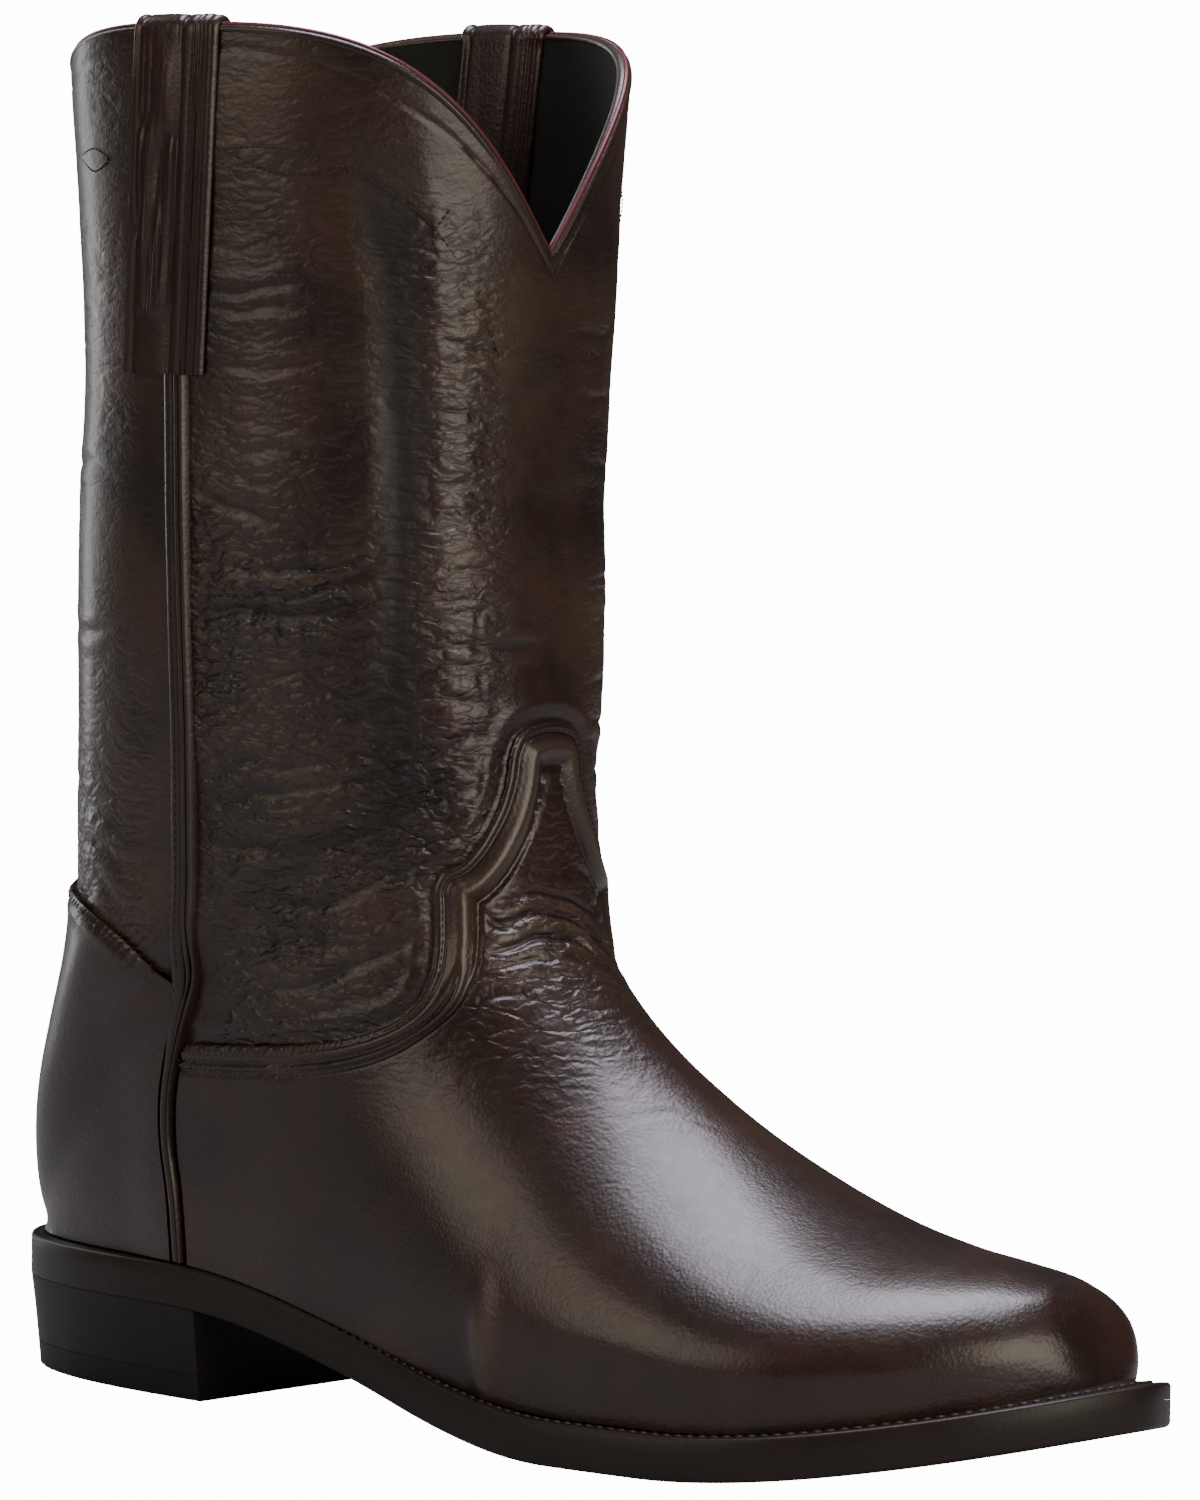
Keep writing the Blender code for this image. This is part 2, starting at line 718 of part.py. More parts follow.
def make_collar_bead(rows, collection, boot):
    """The cord that binds the collar's edge."""
    edge = rows[-1][:-1]
    ahead = np.roll(edge, -1, 0) - np.roll(edge, 1, 0)
    down = rows[-2][:-1] - edge
    normal = np.cross(down, ahead)
    normal /= np.linalg.norm(normal, axis=1)[:, None]
    normal *= np.sign((normal * (edge - edge.mean(axis=0))).sum(axis=1))[:, None]
    edge = edge - normal * wall / 2
    ahead = np.roll(edge, -1, 0) - edge
    ahead /= np.linalg.norm(ahead, axis=1)[:, None]
    behind = np.roll(ahead, 1, 0)
    rise_ahead = np.cross(ahead, normal)
    rise_behind = np.cross(behind, normal)
    for rise in (rise_ahead, rise_behind):
        rise /= np.linalg.norm(rise, axis=1)[:, None]
        rise *= np.sign(rise[:, 2])[:, None]
    bisector = rise_ahead + rise_behind
    bisector /= np.linalg.norm(bisector, axis=1)[:, None]
    lean = (bisector * rise_ahead).sum(axis=1)
    path = edge + bisector * ((bead_radius + gap) / lean)[:, None]
    curve = bpy.data.curves.new("collar_bead", "CURVE")
    curve.dimensions = "3D"
    curve.bevel_depth = bead_radius
    curve.bevel_resolution = 1
    spline = curve.splines.new("POLY")
    spline.points.add(len(path) - 1)
    for point, place in zip(spline.points, path):
        point.co = (*place, 1.0)
    spline.use_cyclic_u = True
    guide = bpy.data.objects.new("collar_bead_line", curve)
    collection.objects.link(guide)
    evaluated = guide.evaluated_get(bpy.context.evaluated_depsgraph_get())
    mesh = bpy.data.meshes.new_from_object(evaluated)
    bpy.data.objects.remove(guide, do_unlink=True)
    return add_object("collar_bead", mesh, BINDING, collection, boot)


def ladder(outline, distance, back, front, count=PLATE_STEPS):
    """Points of the inset outline between back and front, as pairs at equal places along the sole.

    The loop runs forward along the right side and back along the left. None as back or front means
    the loop's own tip.
    """
    loop = inset(outline, distance)
    pair = sides(loop)
    turn_start = 0 if back is None else 0.5
    turn_end = 1 if front is None else 0.5
    low = loop[:, 0].min() if back is None else back
    high = loop[:, 0].max() if front is None else front
    turn = np.linspace(turn_start, turn_end, count) * math.pi
    share = math.cos(turn_start * math.pi) - np.cos(turn)
    x = low + (high - low) * share / share[-1]
    right, left = side_y(pair, x)
    if back is None:
        right[0] = left[0] = (right[0] + left[0]) / 2
    if front is None:
        right[-1] = left[-1] = (right[-1] + left[-1]) / 2
    return x, right, left


def slab(name, layers, back, front, finish, collection, boot):
    """A plate of the sole through layers of an inset and a height function."""
    outline = plan_outline()
    loops = []
    for distance, height in layers:
        x, right, left = ladder(outline, distance(outline[:, 0]), back, front)
        z = np.broadcast_to(height(x), x.shape)
        forward = list(zip(x, right, z))
        loops.append(forward + list(zip(x[::-1], left[::-1], z[::-1])))
    return loft(name, loops, finish, collection, boot)


def even(distance):
    """The same inset all round."""
    return lambda x: np.full_like(x, distance)


def make_outsole(collection, boot):
    """The full-length outsole with rounded edges."""
    layers = [
        (even(edge_round), tread),
        (even(0.0), lambda x: tread(x) + edge_round),
        (even(0.0), lambda x: tread(x) + outsole_thickness - edge_round / 2),
        (even(edge_round / 2), lambda x: tread(x) + outsole_thickness),
    ]
    return slab("outsole", layers, None, None, SOLE_EDGE, collection, boot)


def heel_inset(share):
    """How far the heel stands in from the edge of the sole, from its foot (0) to its top (1)."""
    return even(heel_foot_inset + (heel_top_inset - heel_foot_inset) * share)


def make_heel(collection, boot):
    """The stacked heel and its rubber cap, both with a flat breast."""
    share = heel_cap_thickness / heel_height
    cap = [
        (heel_inset(0), lambda x: np.zeros_like(x)),
        (heel_inset(share), lambda x: np.full_like(x, heel_cap_thickness)),
    ]
    slab("heel_cap", cap, None, heel_length, RUBBER, collection, boot)
    stack = [
        (heel_inset(share), lambda x: np.full_like(x, heel_cap_thickness + gap)),
        (heel_inset((1 + share) / 2), lambda x: (heel_cap_thickness + tread(x)) / 2),
        (heel_inset(1), lambda x: tread(x) - gap),
    ]
    slab("heel_stack", stack, None, heel_length, SOLE_EDGE, collection, boot)


def make_insole(collection, boot):
    """The insole, with a lower step that fills the welt."""
    inner_edge = wall + welt_ledge + edge_gap
    layers = [
        (lambda x: upper_margin(x) + inner_edge, lambda x: tread(x) + outsole_thickness + gap),
        (lambda x: upper_margin(x) + inner_edge, lambda x: seat(x) + gap),
        (lambda x: upper_margin(x) + wall + edge_gap, lambda x: seat(x) + gap),
        (lambda x: upper_margin(x) + wall + edge_gap, lambda x: seat(x) + insole_thickness),
    ]
    return slab("insole", layers, None, None, LINING, collection, boot)


def make_rand(name, ahead, count, collection, boot):
    """The welt round the forepart, or the heel seat that carries its line round the back."""
    outline = plan_outline()
    start = int(np.argmin(outline[:, 0]))
    loop = np.roll(outline, -start, 0)
    breast_right = int(np.argmax(loop[:, 0] > heel_length))
    breast_left = len(loop) - int(np.argmax(loop[::-1, 0] > heel_length)) - 1
    if ahead:
        picks = np.linspace(breast_right, breast_left, count)
    else:
        picks = np.linspace(breast_left + 1, breast_right - 1 + len(loop), count)
    steps = np.arange(2 * len(loop))
    profile = [
        # inset, height above the outsole
        (even(edge_round / 2), 0.0),
        (even(0.0), edge_round / 2),
        (even(0.0), welt_thickness - edge_round),
        (even(edge_round), welt_thickness),
        (lambda x: upper_margin(x) + wall + welt_ledge, welt_thickness),
        (lambda x: upper_margin(x) + wall + welt_ledge, 0.0),
    ]
    lines = []
    for distance, height in profile:
        moved = inset(loop, distance(loop[:, 0]))
        moved = np.concatenate([moved, moved])
        line = np.stack([np.interp(picks, steps, moved[:, k]) for k in range(2)], 1)
        z = tread(line[:, 0]) + outsole_thickness + gap + height
        lines.append(np.column_stack([line, z]))
    loops = [[tuple(line[k]) for line in lines] for k in range(count)]
    return loft(name, loops, SOLE_EDGE, collection, boot)


def main():
    """Build the boot."""
    clear_scene()
    collection = bpy.data.collections.new("roper_boot")
    cutters = bpy.data.collections.new("cutters")
    bpy.context.scene.collection.children.link(collection)
    bpy.context.scene.collection.children.link(cutters)
    boot = bpy.data.objects.new("boot", None)
    collection.objects.link(boot)

    rows = boot_rows()
    upper = make_upper(rows, collection, boot)
    bpy.context.view_layer.update()
    tree = BVHTree.FromObject(upper, bpy.context.evaluated_depsgraph_get())
    make_vamp(rows, collection, cutters, boot)
    make_counter(rows, collection, cutters, boot)
    for name, side in (("right", -1), ("left", 1)):
        make_side_seam("side_piping_" + name, side, tree, collection, boot)
        make_pull_strap("pull_strap_" + name, side, tree, collection, boot)
    make_collar_bead(rows, collection, boot)
    make_insole(collection, boot)
    make_rand("welt", True, WELT_STEPS, collection, boot)
    make_rand("heel_seat", False, SEAT_STEPS, collection, boot)
    make_outsole(collection, boot)
    make_heel(collection, boot)
    boot.location.x = -heel_length / 2
    bpy.context.view_layer.update()


main()
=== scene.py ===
"""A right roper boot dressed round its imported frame: creased glossy leather, corded seams, welt and heel.

Sizes are in millimetres until a mesh is made. X runs to the toe, Y to the inner side and Z up, and
lengths along the boot are measured from the back of the sole.
"""
import math

import bmesh
import bpy
import numpy as np
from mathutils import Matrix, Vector
from mathutils.bvhtree import BVHTree


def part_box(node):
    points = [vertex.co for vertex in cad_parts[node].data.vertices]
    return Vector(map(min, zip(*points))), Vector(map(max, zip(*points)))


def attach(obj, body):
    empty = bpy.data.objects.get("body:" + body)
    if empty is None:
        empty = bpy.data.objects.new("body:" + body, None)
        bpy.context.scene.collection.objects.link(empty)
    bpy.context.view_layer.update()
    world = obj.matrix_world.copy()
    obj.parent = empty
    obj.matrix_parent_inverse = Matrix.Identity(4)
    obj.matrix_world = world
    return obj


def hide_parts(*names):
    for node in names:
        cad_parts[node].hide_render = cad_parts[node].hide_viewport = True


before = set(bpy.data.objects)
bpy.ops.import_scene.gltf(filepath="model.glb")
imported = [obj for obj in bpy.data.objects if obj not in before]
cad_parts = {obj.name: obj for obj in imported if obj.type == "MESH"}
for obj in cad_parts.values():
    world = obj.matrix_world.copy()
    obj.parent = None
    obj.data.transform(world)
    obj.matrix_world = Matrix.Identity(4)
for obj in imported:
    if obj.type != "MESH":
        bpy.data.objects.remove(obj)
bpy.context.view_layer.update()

bl_info = {
    "name": "Roper Boot",
    "version": (1, 0, 0),
    "blender": (4, 5, 0),
    "location": "View3D > Sidebar > Boot",
    "description": "Builds a creased leather roper boot round its packed frame",
    "category": "Add Mesh",
}

MM = 0.001
MIRROR = np.array((1, -1, 1))

# Sizes of the form, as the frame has them
sole_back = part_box("outsole")[0].x / MM
sole_length = (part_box("outsole")[1].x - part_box("outsole")[0].x) / MM
shaft_height = 303.0
ball_width = 101.0
heel_width = 68.0
heel_length = 78.0
heel_height = 21.0
heel_cap_thickness = 6.0
heel_foot_inset = 2.2
outsole_thickness = 5.8
welt_thickness = 3.6
insole_thickness = 3.0
toe_spring = 13.0
welt_margin = 6.5
waist_margin = 2.5
heel_margin = 3.2
wall = 2.0
instep_height = 104.0
shaft_depth = 129.0
shaft_width = 107.0
shaft_centre = 88.5
shaft_radius = 58.0
notch_depth = 49.0
back_dip = 28.0
seam_width = 7.0
seam_underlap = 0.6
strap_width = 24.5
strap_outer_length = 74.5
strap_inner_length = 62.0
strap_lean = 6.5
gap = 0.3

# Outline of the sole. Width and shift are shares of heel_width or ball_width.
SOLE_PLAN = [
    # length, width, shift, across
    (0.000, 0.000, 0.000, "heel"),
    (0.012, 0.360, 0.000, "heel"),
    (0.045, 0.660, 0.000, "heel"),
    (0.100, 0.870, 0.000, "heel"),
    (0.165, 0.980, -0.002, "heel"),
    (0.240, 1.000, -0.016, "heel"),
    (0.330, 0.655, -0.023, "ball"),
    (0.430, 0.660, -0.036, "ball"),
    (0.520, 0.755, -0.030, "ball"),
    (0.610, 0.890, 0.004, "ball"),
    (0.690, 0.985, 0.060, "ball"),
    (0.760, 0.998, 0.093, "ball"),
    (0.830, 0.925, 0.120, "ball"),
    (0.895, 0.755, 0.150, "ball"),
    (0.945, 0.560, 0.175, "ball"),
    (0.980, 0.335, 0.196, "ball"),
    (0.996, 0.130, 0.208, "ball"),
    (1.000, 0.000, 0.211, "ball"),
]

# How far the foot of the upper stands in from the edge of the sole
FOOT_MARGINS = [
    # length, margin
    (0.00, heel_margin),
    (0.12, heel_margin),
    (0.30, waist_margin),
    (0.42, waist_margin),
    (0.58, 0.85 * welt_margin),
    (0.75, welt_margin),
    (1.00, 1.05 * welt_margin),
]

# Where the sole leaves the floor, along sole_length
arch_start = 0.635
arch_end = 0.215
spring_start = 0.72
spring_power = 1.7

# Form of the upper above the sole, by the place where a row ends on the sole. end and ridge: along the
# foot of the upper and along sole_length. high: of instep_height. shift and belly: of ball_width.
FOOT_FORM = [
    # end, ridge, high, shift, belly, middle, low_round, high_round
    (0.000, 0.4990, 1.442, 0.000, 0.070, 0.55, 2.2, 2.6),
    (0.032, 0.4995, 1.375, 0.000, 0.064, 0.54, 2.2, 2.6),
    (0.070, 0.5000, 1.320, 0.000, 0.060, 0.53, 2.2, 2.6),
    (0.125, 0.5010, 1.260, 0.000, 0.054, 0.51, 2.15, 2.6),
    (0.195, 0.5020, 1.195, 0.002, 0.046, 0.48, 2.1, 2.5),
    (0.275, 0.5050, 1.125, 0.003, 0.036, 0.44, 2.0, 2.35),
    (0.360, 0.5150, 1.045, 0.006, 0.028, 0.40, 2.0, 2.15),
    (0.445, 0.5380, 0.950, 0.015, 0.022, 0.36, 2.0, 1.95),
    (0.525, 0.5750, 0.840, 0.032, 0.018, 0.32, 2.0, 1.80),
    (0.600, 0.6240, 0.722, 0.055, 0.015, 0.31, 2.0, 1.76),
    (0.670, 0.6820, 0.608, 0.080, 0.014, 0.32, 2.0, 1.78),
    (0.740, 0.7450, 0.520, 0.106, 0.014, 0.33, 2.0, 1.84),
    (0.810, 0.8110, 0.470, 0.132, 0.014, 0.34, 2.0, 1.92),
    (0.875, 0.8700, 0.446, 0.155, 0.013, 0.34, 2.0, 2.0),
    (0.930, 0.9180, 0.424, 0.175, 0.012, 0.35, 2.0, 2.05),
    (0.972, 0.9480, 0.393, 0.190, 0.010, 0.35, 2.0, 2.1),
    (0.993, 0.9620, 0.352, 0.200, 0.006, 0.36, 2.0, 2.1),
    (1.000, 0.9660, 0.310, 0.200, 0.000, 0.36, 2.0, 2.1),
]
ROW_ENDS = [1.0, 0.993, 0.972, 0.930, 0.875, 0.815, 0.755, 0.700, 0.645, 0.590, 0.537, 0.486, 0.436,
            0.386, 0.336, 0.286, 0.236, 0.186, 0.136, 0.086, 0.044, 0.014, 0.0]

# Rows round the ankle. Heights are shares of instep_height, half of shaft_width.
ANKLE_ROWS = [
    # end, end_high, ridge, ridge_high, half, middle, round
    (0.021, 0.452, 0.4985, 1.489, 0.392, 0.54, 2.5),
    (0.036, 0.656, 0.4980, 1.553, 0.404, 0.53, 2.5),
    (0.068, 0.874, 0.4975, 1.623, 0.416, 0.52, 2.45),
    (0.080, 1.107, 0.4970, 1.701, 0.430, 0.51, 2.4),
    (0.086, 1.369, 0.4965, 1.786, 0.444, 0.50, 2.4),
    (0.087, 1.632, 0.4960, 1.879, 0.456, 0.50, 2.35),
]

# The straight shaft. front and back: from shaft_centre, of shaft_depth. half: of shaft_width.
SHAFT_ROWS = [
    # high, front, back, half, round
    (0.490, 0.474, 0.486, 0.440, 2.35),
    (0.570, 0.474, 0.484, 0.456, 2.35),
    (0.660, 0.474, 0.472, 0.466, 2.35),
    (0.770, 0.480, 0.460, 0.475, 2.3),
    (0.880, 0.492, 0.470, 0.487, 2.3),
    (1.000, 0.516, 0.498, 0.500, 2.3),
]
shaft_base = 1.923
shaft_steps = 9
notch_power = 2.9
dip_power = 2.2
least_swell = 1.02

# Columns of the fine form on each side, below and above a row's widest place
LOW_COLUMNS = 48
HIGH_COLUMNS = 82

# Side seam. high: of instep_height. place: along sole_length.
SIDE_SEAM = [
    # high, place
    (0.233, 0.238),
    (0.452, 0.238),
    (0.554, 0.234),
    (0.656, 0.237),
    (0.757, 0.247),
    (0.874, 0.260),
    (1.311, 0.280),
    (1.748, 0.286),
    (2.913, 0.286),
]

# Upper edge of the vamp on the outer side, from the side seam to the tip of the tongue
VAMP_EDGE = [
    # x, y, z
    (70.0, -37.4, 80.4),
    (81.6, -36.8, 80.6),
    (96.5, -36.1, 81.3),
    (111.5, -35.1, 82.6),
    (123.5, -34.0, 84.6),
    (131.0, -32.6, 86.8),
    (137.2, -30.6, 90.0),
    (140.9, -28.8, 94.0),
    (142.4, -27.0, 99.5),
    (142.4, -25.8, 106.0),
    (142.0, -25.5, 113.0),
    (142.0, -25.3, 119.0),
    (143.2, -24.0, 122.0),
    (145.4, -21.8, 123.4),
    (147.2, -19.4, 126.4),
    (148.6, -16.6, 131.0),
    (149.4, -14.0, 136.0),
    (149.9, -12.1, 142.0),
    (150.1, -11.0, 148.0),
    (150.3, -9.2, 151.3),
    (150.6, -5.1, 153.2),
    (150.7, 0.0, 153.8),
]

# The vamp's corded edge. place and half: of the band's width, from the edge inwards. high: in millimetres.
VAMP_BAND = [
    # place, half, high
    (0.08, 0.09, 0.30),
    (0.19, 0.07, -0.30),
    (0.39, 0.22, 0.50),
    (0.64, 0.10, -0.60),
    (0.80, 0.13, 0.70),
    (0.98, 0.12, -0.75),
]

# Upper edge of the counter on the outer side, from the side seam to the middle of the back
COUNTER_EDGE = [
    # x, y, z
    (83.0, -38.5, 91.0),
    (78.8, -38.7, 92.5),
    (70.7, -41.7, 98.7),
    (57.9, -41.6, 105.6),
    (45.5, -37.5, 109.4),
    (30.0, -22.0, 113.0),
    (24.0, 0.0, 117.5),
]

# The side seam across: a stitched band and two thin cords. across: in front of the seam.
PIPING = [
    # across, high
    (-3.70, -0.80),
    (-3.60, 0.55),
    (-3.20, 1.05),
    (-2.40, 1.20),
    (-1.40, 1.20),
    (-0.60, 1.10),
    (-0.10, 0.55),
    (0.15, 1.10),
    (0.45, 1.75),
    (0.85, 1.95),
    (1.25, 1.70),
    (1.55, 0.95),
    (1.85, 1.70),
    (2.25, 1.95),
    (2.65, 1.70),
    (2.95, 0.95),
    (3.20, 0.20),
    (3.40, -0.80),
]

# A pull strap across, from its back edge: a cord, the wrinkled middle, a plain band and two cords
STRAP = [
    # across, high
    (0.0, 0.10),
    (0.3, 1.45),
    (0.9, 1.75),
    (1.5, 1.30),
    (2.2, 1.10),
    (4.0, 1.45),
    (8.5, 1.80),
    (13.0, 1.55),
    (15.3, 1.10),
    (16.6, 1.40),
    (18.2, 1.25),
    (18.8, 1.00),
    (19.5, 1.75),
    (20.2, 1.10),
    (21.0, 1.75),
    (21.8, 1.05),
    (22.8, 1.15),
    (23.9, 0.95),
    (24.5, 0.10),
]
strap_patch = 15.0

# How far apart the rows of each mesh are
shaft_mesh = 0.86
vamp_mesh = 1.2
counter_mesh = 1.0
lining_mesh = 4.0

# How far the shaft's leather runs on under the vamp and the counter, and how thick it is at its rims
underlap = 9.0
shaft_rim = 1.2

# From one level to the next up a side seam
seam_step = 1.5


def cubic(t, here, there, leaving, arriving, step):
    """A step between two values that leaves and arrives at the given slopes, at a share t of its way."""
    rise = (2 * t**3 - 3 * t**2 + 1) * here + (3 * t**2 - 2 * t**3) * there
    bend = (t**3 - 2 * t**2 + t) * leaving + (t**3 - t**2) * arriving
    return rise + bend * step


def smooth(knots, values, at):
    """Read a smooth curve through the knots at the places asked."""
    knots = np.asarray(knots, float)
    values = np.asarray(values, float)
    at = np.clip(np.asarray(at, float), knots[0], knots[-1])
    step = np.diff(knots)
    slope = np.diff(values) / step
    tangent = np.empty_like(values)
    tangent[1:-1] = (slope[:-1] * step[1:] + slope[1:] * step[:-1]) / (step[:-1] + step[1:])
    tangent[0] = 1.5 * slope[0] - 0.5 * tangent[1]
    tangent[-1] = 1.5 * slope[-1] - 0.5 * tangent[-2]
    i = np.clip(np.searchsorted(knots, at, side="right") - 1, 0, len(step) - 1)
    t = (at - knots[i]) / step[i]
    return cubic(t, values[i], values[i + 1], tangent[i], tangent[i + 1], step[i])


def column(table, index):
    """One column of a table."""
    return [row[index] for row in table]


def plan_outline(count=1440):
    """Closed outline of the sole, from the back of the heel along the right side to the toe and back."""
    right, left = [], []
    for length, width, shift, across in SOLE_PLAN:
        size = heel_width if across == "heel" else ball_width
        right.append((length * sole_length, (shift - width / 2) * size))
        left.append((length * sole_length, (shift + width / 2) * size))
    loop = np.array(right + left[-2:0:-1])
    around = np.concatenate([loop[-3:], loop, loop[:4]])
    chord = np.linalg.norm(np.diff(around, axis=0), axis=1) ** 0.5
    chord = np.concatenate([[0], np.cumsum(chord)])
    fine = np.linspace(chord[3], chord[3 + len(loop)], 8 * count, endpoint=False)
    curve = np.stack([smooth(chord, around[:, k], fine) for k in range(2)], 1)
    run = np.concatenate([[0], np.cumsum(np.linalg.norm(np.diff(curve, axis=0), axis=1))])
    even = np.linspace(0, run[-1], count, endpoint=False)
    return np.stack([np.interp(even, run, curve[:, k]) for k in range(2)], 1)


def upper_margin(x):
    """How far the foot of the upper stands in from the edge of the sole."""
    return smooth(column(FOOT_MARGINS, 0), column(FOOT_MARGINS, 1), x / sole_length)


def inset(loop, distance):
    """Move each point of the outline inwards."""
    along = np.roll(loop, -1, 0) - np.roll(loop, 1, 0)
    along /= np.linalg.norm(along, axis=1)[:, None]
    inward = np.stack([-along[:, 1], along[:, 0]], 1)
    return loop + inward * np.broadcast_to(distance, len(loop))[:, None]


def sides(loop):
    """Split a loop at its back and toe into its right and left side, both running forward."""
    loop = np.roll(loop, -int(np.argmin(loop[:, 0])), 0)
    toe = int(np.argmax(loop[:, 0]))
    return loop[:toe + 1], np.concatenate([loop[toe:], loop[:1]])[::-1]


def side_y(pair, x):
    """Right and left edge of a split loop at x."""
    return tuple(np.interp(x, side[:, 0], side[:, 1]) for side in pair)


def tread(x):
    """Height of the outsole's underside."""
    share = np.asarray(x, float) / sole_length
    back = np.clip((arch_start - share) / (arch_start - arch_end), 0, 1)
    front = np.clip((share - spring_start) / (1 - spring_start), 0, 1)
    return heel_height * (3 * back**2 - 2 * back**3) + toe_spring * front**spring_power


def seat(x):
    """Height of the top of the welt."""
    return tread(x) + outsole_thickness + gap + welt_thickness


def collar_height(share):
    """Height of the collar, by how far round from the front (0) by the side (1) to the back (2)."""
    front = np.clip(1 - share, 0, 1)
    back = np.clip(share - 1, 0, 1)
    return shaft_height - notch_depth * front**notch_power - back_dip * back**dip_power


def section(end, ridge, half, foot, middle, low_round, high_round):
    """One row across the boot, from its right foot over the ridge to its left foot."""
    start = math.acos((foot / half) ** (low_round / 2)) if foot > 0 else math.pi / 2
    reach = middle / math.sin(start) ** (2 / low_round)
    turn = start * (1 - np.arange(LOW_COLUMNS) / LOW_COLUMNS)
    low_s = middle - reach * np.sin(turn) ** (2 / low_round)
    low_y = half * np.clip(np.cos(turn), 0, 1) ** (2 / low_round)
    turn = math.pi / 2 * np.arange(HIGH_COLUMNS + 1) / HIGH_COLUMNS
    high_s = middle + (1 - middle) * np.sin(turn) ** (2 / high_round)
    high_y = half * np.clip(np.cos(turn), 0, 1) ** (2 / high_round)
    s = np.concatenate([low_s, high_s])
    y = np.concatenate([low_y, high_y])
    s[-1], y[-1] = 1.0, 0.0
    if foot <= 0:
        s[0], y[0] = 0.0, 0.0
    spine = np.asarray(end, float) + (np.asarray(ridge, float) - np.asarray(end, float)) * s[:, None]
    across = np.stack([np.zeros_like(y), y, np.zeros_like(y)], 1)
    return np.concatenate([spine - across, (spine + across)[-2::-1]])


def foot_rows():
    """The rows that end on the sole, toe first."""
    outline = plan_outline()
    feather = inset(outline, upper_margin(outline[:, 0]))
    pair = sides(feather)
    back, toe = feather[:, 0].min(), feather[:, 0].max()
    ends = column(FOOT_FORM, 0)
    rows = []
    for end in ROW_ENDS:
        form = [float(smooth(ends, column(FOOT_FORM, c), end)) for c in range(1, 8)]
        ridge, high, shift, belly, middle, low_round, high_round = form
        end_x = back + (toe - back) * end
        ridge_x = ridge * sole_length
        right, left = side_y(pair, end_x)
        wide_right, wide_left = side_y(pair, end_x + (ridge_x - end_x) * middle)
        low = np.array((end_x, (right + left) / 2, seat(end_x) + gap))
        top = np.array((ridge_x, shift * ball_width, high * instep_height))
        foot = (left - right) / 2 if end > 0 else 0
        half = max((wide_left - wide_right) / 2 + belly * ball_width, least_swell * foot)
        if end == 1.0:
            share = np.arange(LOW_COLUMNS + HIGH_COLUMNS + 1)[:, None] / (LOW_COLUMNS + HIGH_COLUMNS)
            side = low + (top - low) * share
            rows.append(np.concatenate([side, side[-2::-1]]))
        else:
            rows.append(section(low, top, half, foot, middle, low_round, high_round))
    return rows


def ankle_rows():
    """The rows that tilt from the heel to the front of the ankle."""
    rows = []
    for end, end_high, ridge, ridge_high, half, middle, fullness in ANKLE_ROWS:
        low = (end * sole_length, 0, end_high * instep_height)
        top = (ridge * sole_length, 0, ridge_high * instep_height)
        rows.append(section(low, top, half * shaft_width, 0, middle, fullness, fullness))
    return rows


def shaft_rows():
    """The rows of the straight shaft, the last one along the collar."""
    low_side = np.linspace(2, 1, LOW_COLUMNS + 1)[:-1]
    side = np.concatenate([low_side, np.linspace(1, 0, HIGH_COLUMNS + 1)])
    top = collar_height(np.concatenate([side, side[-2::-1]]))
    base = shaft_base * instep_height
    highs = column(SHAFT_ROWS, 0)
    levels = np.linspace(base, shaft_height, 40)
    stack = []
    for height in levels:
        front, back, half, fullness = (
            float(smooth(highs, column(SHAFT_ROWS, c), height / shaft_height)) for c in range(1, 5))
        low = (shaft_centre - back * shaft_depth, 0, height)
        ridge = (shaft_centre + front * shaft_depth, 0, height)
        stack.append(section(low, ridge, half * shaft_width, 0, 0.5, fullness, fullness))
    stack = np.array(stack)
    rows = []
    for k in range(shaft_steps + 1):
        heights = base + (top - base) * k / shaft_steps
        row = np.empty((len(heights), 3))
        for j, height in enumerate(heights):
            for axis in range(3):
                row[j, axis] = np.interp(height, levels, stack[:, j, axis])
        rows.append(row)
    return rows


def fine_rows(rows, first, last, target):
    """Rows added between the given ones on smooth curves, about target millimetres apart."""
    rows = np.array(rows)
    step = np.maximum(np.linalg.norm(np.diff(rows, axis=0), axis=2), 0.01)[:, :, None]
    slope = np.diff(rows, axis=0) / step
    tangent = np.empty_like(rows)
    tangent[1:-1] = (slope[:-1] * step[1:] + slope[1:] * step[:-1]) / (step[:-1] + step[1:])
    tangent[0] = slope[0]
    tangent[-1] = slope[-1]
    made = []
    for k in range(first, last):
        count = max(int(math.ceil(step[k].mean() / target)), 1)
        for part in range(count):
            made.append(cubic(part / count, rows[k], rows[k + 1], tangent[k], tangent[k + 1], step[k]))
    made.append(rows[last])
    return np.array(made)


CONTROL_ROWS = np.array(foot_rows() + ankle_rows() + shaft_rows())
FOOT_COUNT = len(ROW_ENDS)
ROW_COUNT = len(CONTROL_ROWS)


def grid_tree(grid):
    """A tree for casting onto a grid of points."""
    wide = grid.shape[1]
    points = [Vector(p) for p in grid.reshape(-1, 3)]
    faces = []
    for k in range(len(grid) - 1):
        for j in range(wide - 1):
            a = k * wide + j
            faces.append((a, a + 1, a + wide + 1, a + wide))
    return BVHTree.FromPolygons(points, faces)


FORM_TREE = grid_tree(fine_rows(CONTROL_ROWS, 0, ROW_COUNT - 1, 3.0)[:, ::2])


def route(table, step=1.5, mirror=False):
    """A smooth line through given points, laid on the boot's form."""
    points = np.array([row[:3] for row in table], float)
    if mirror:
        points = np.concatenate([points, points[-2::-1] * MIRROR])
    chord = np.concatenate([[0], np.cumsum(np.linalg.norm(np.diff(points, axis=0), axis=1))])
    at = np.linspace(0, chord[-1], max(int(chord[-1] / step), 2) + 1)
    line = np.stack([smooth(chord, points[:, k], at) for k in range(3)], 1)
    return np.array([FORM_TREE.find_nearest(Vector(p))[0] for p in line])


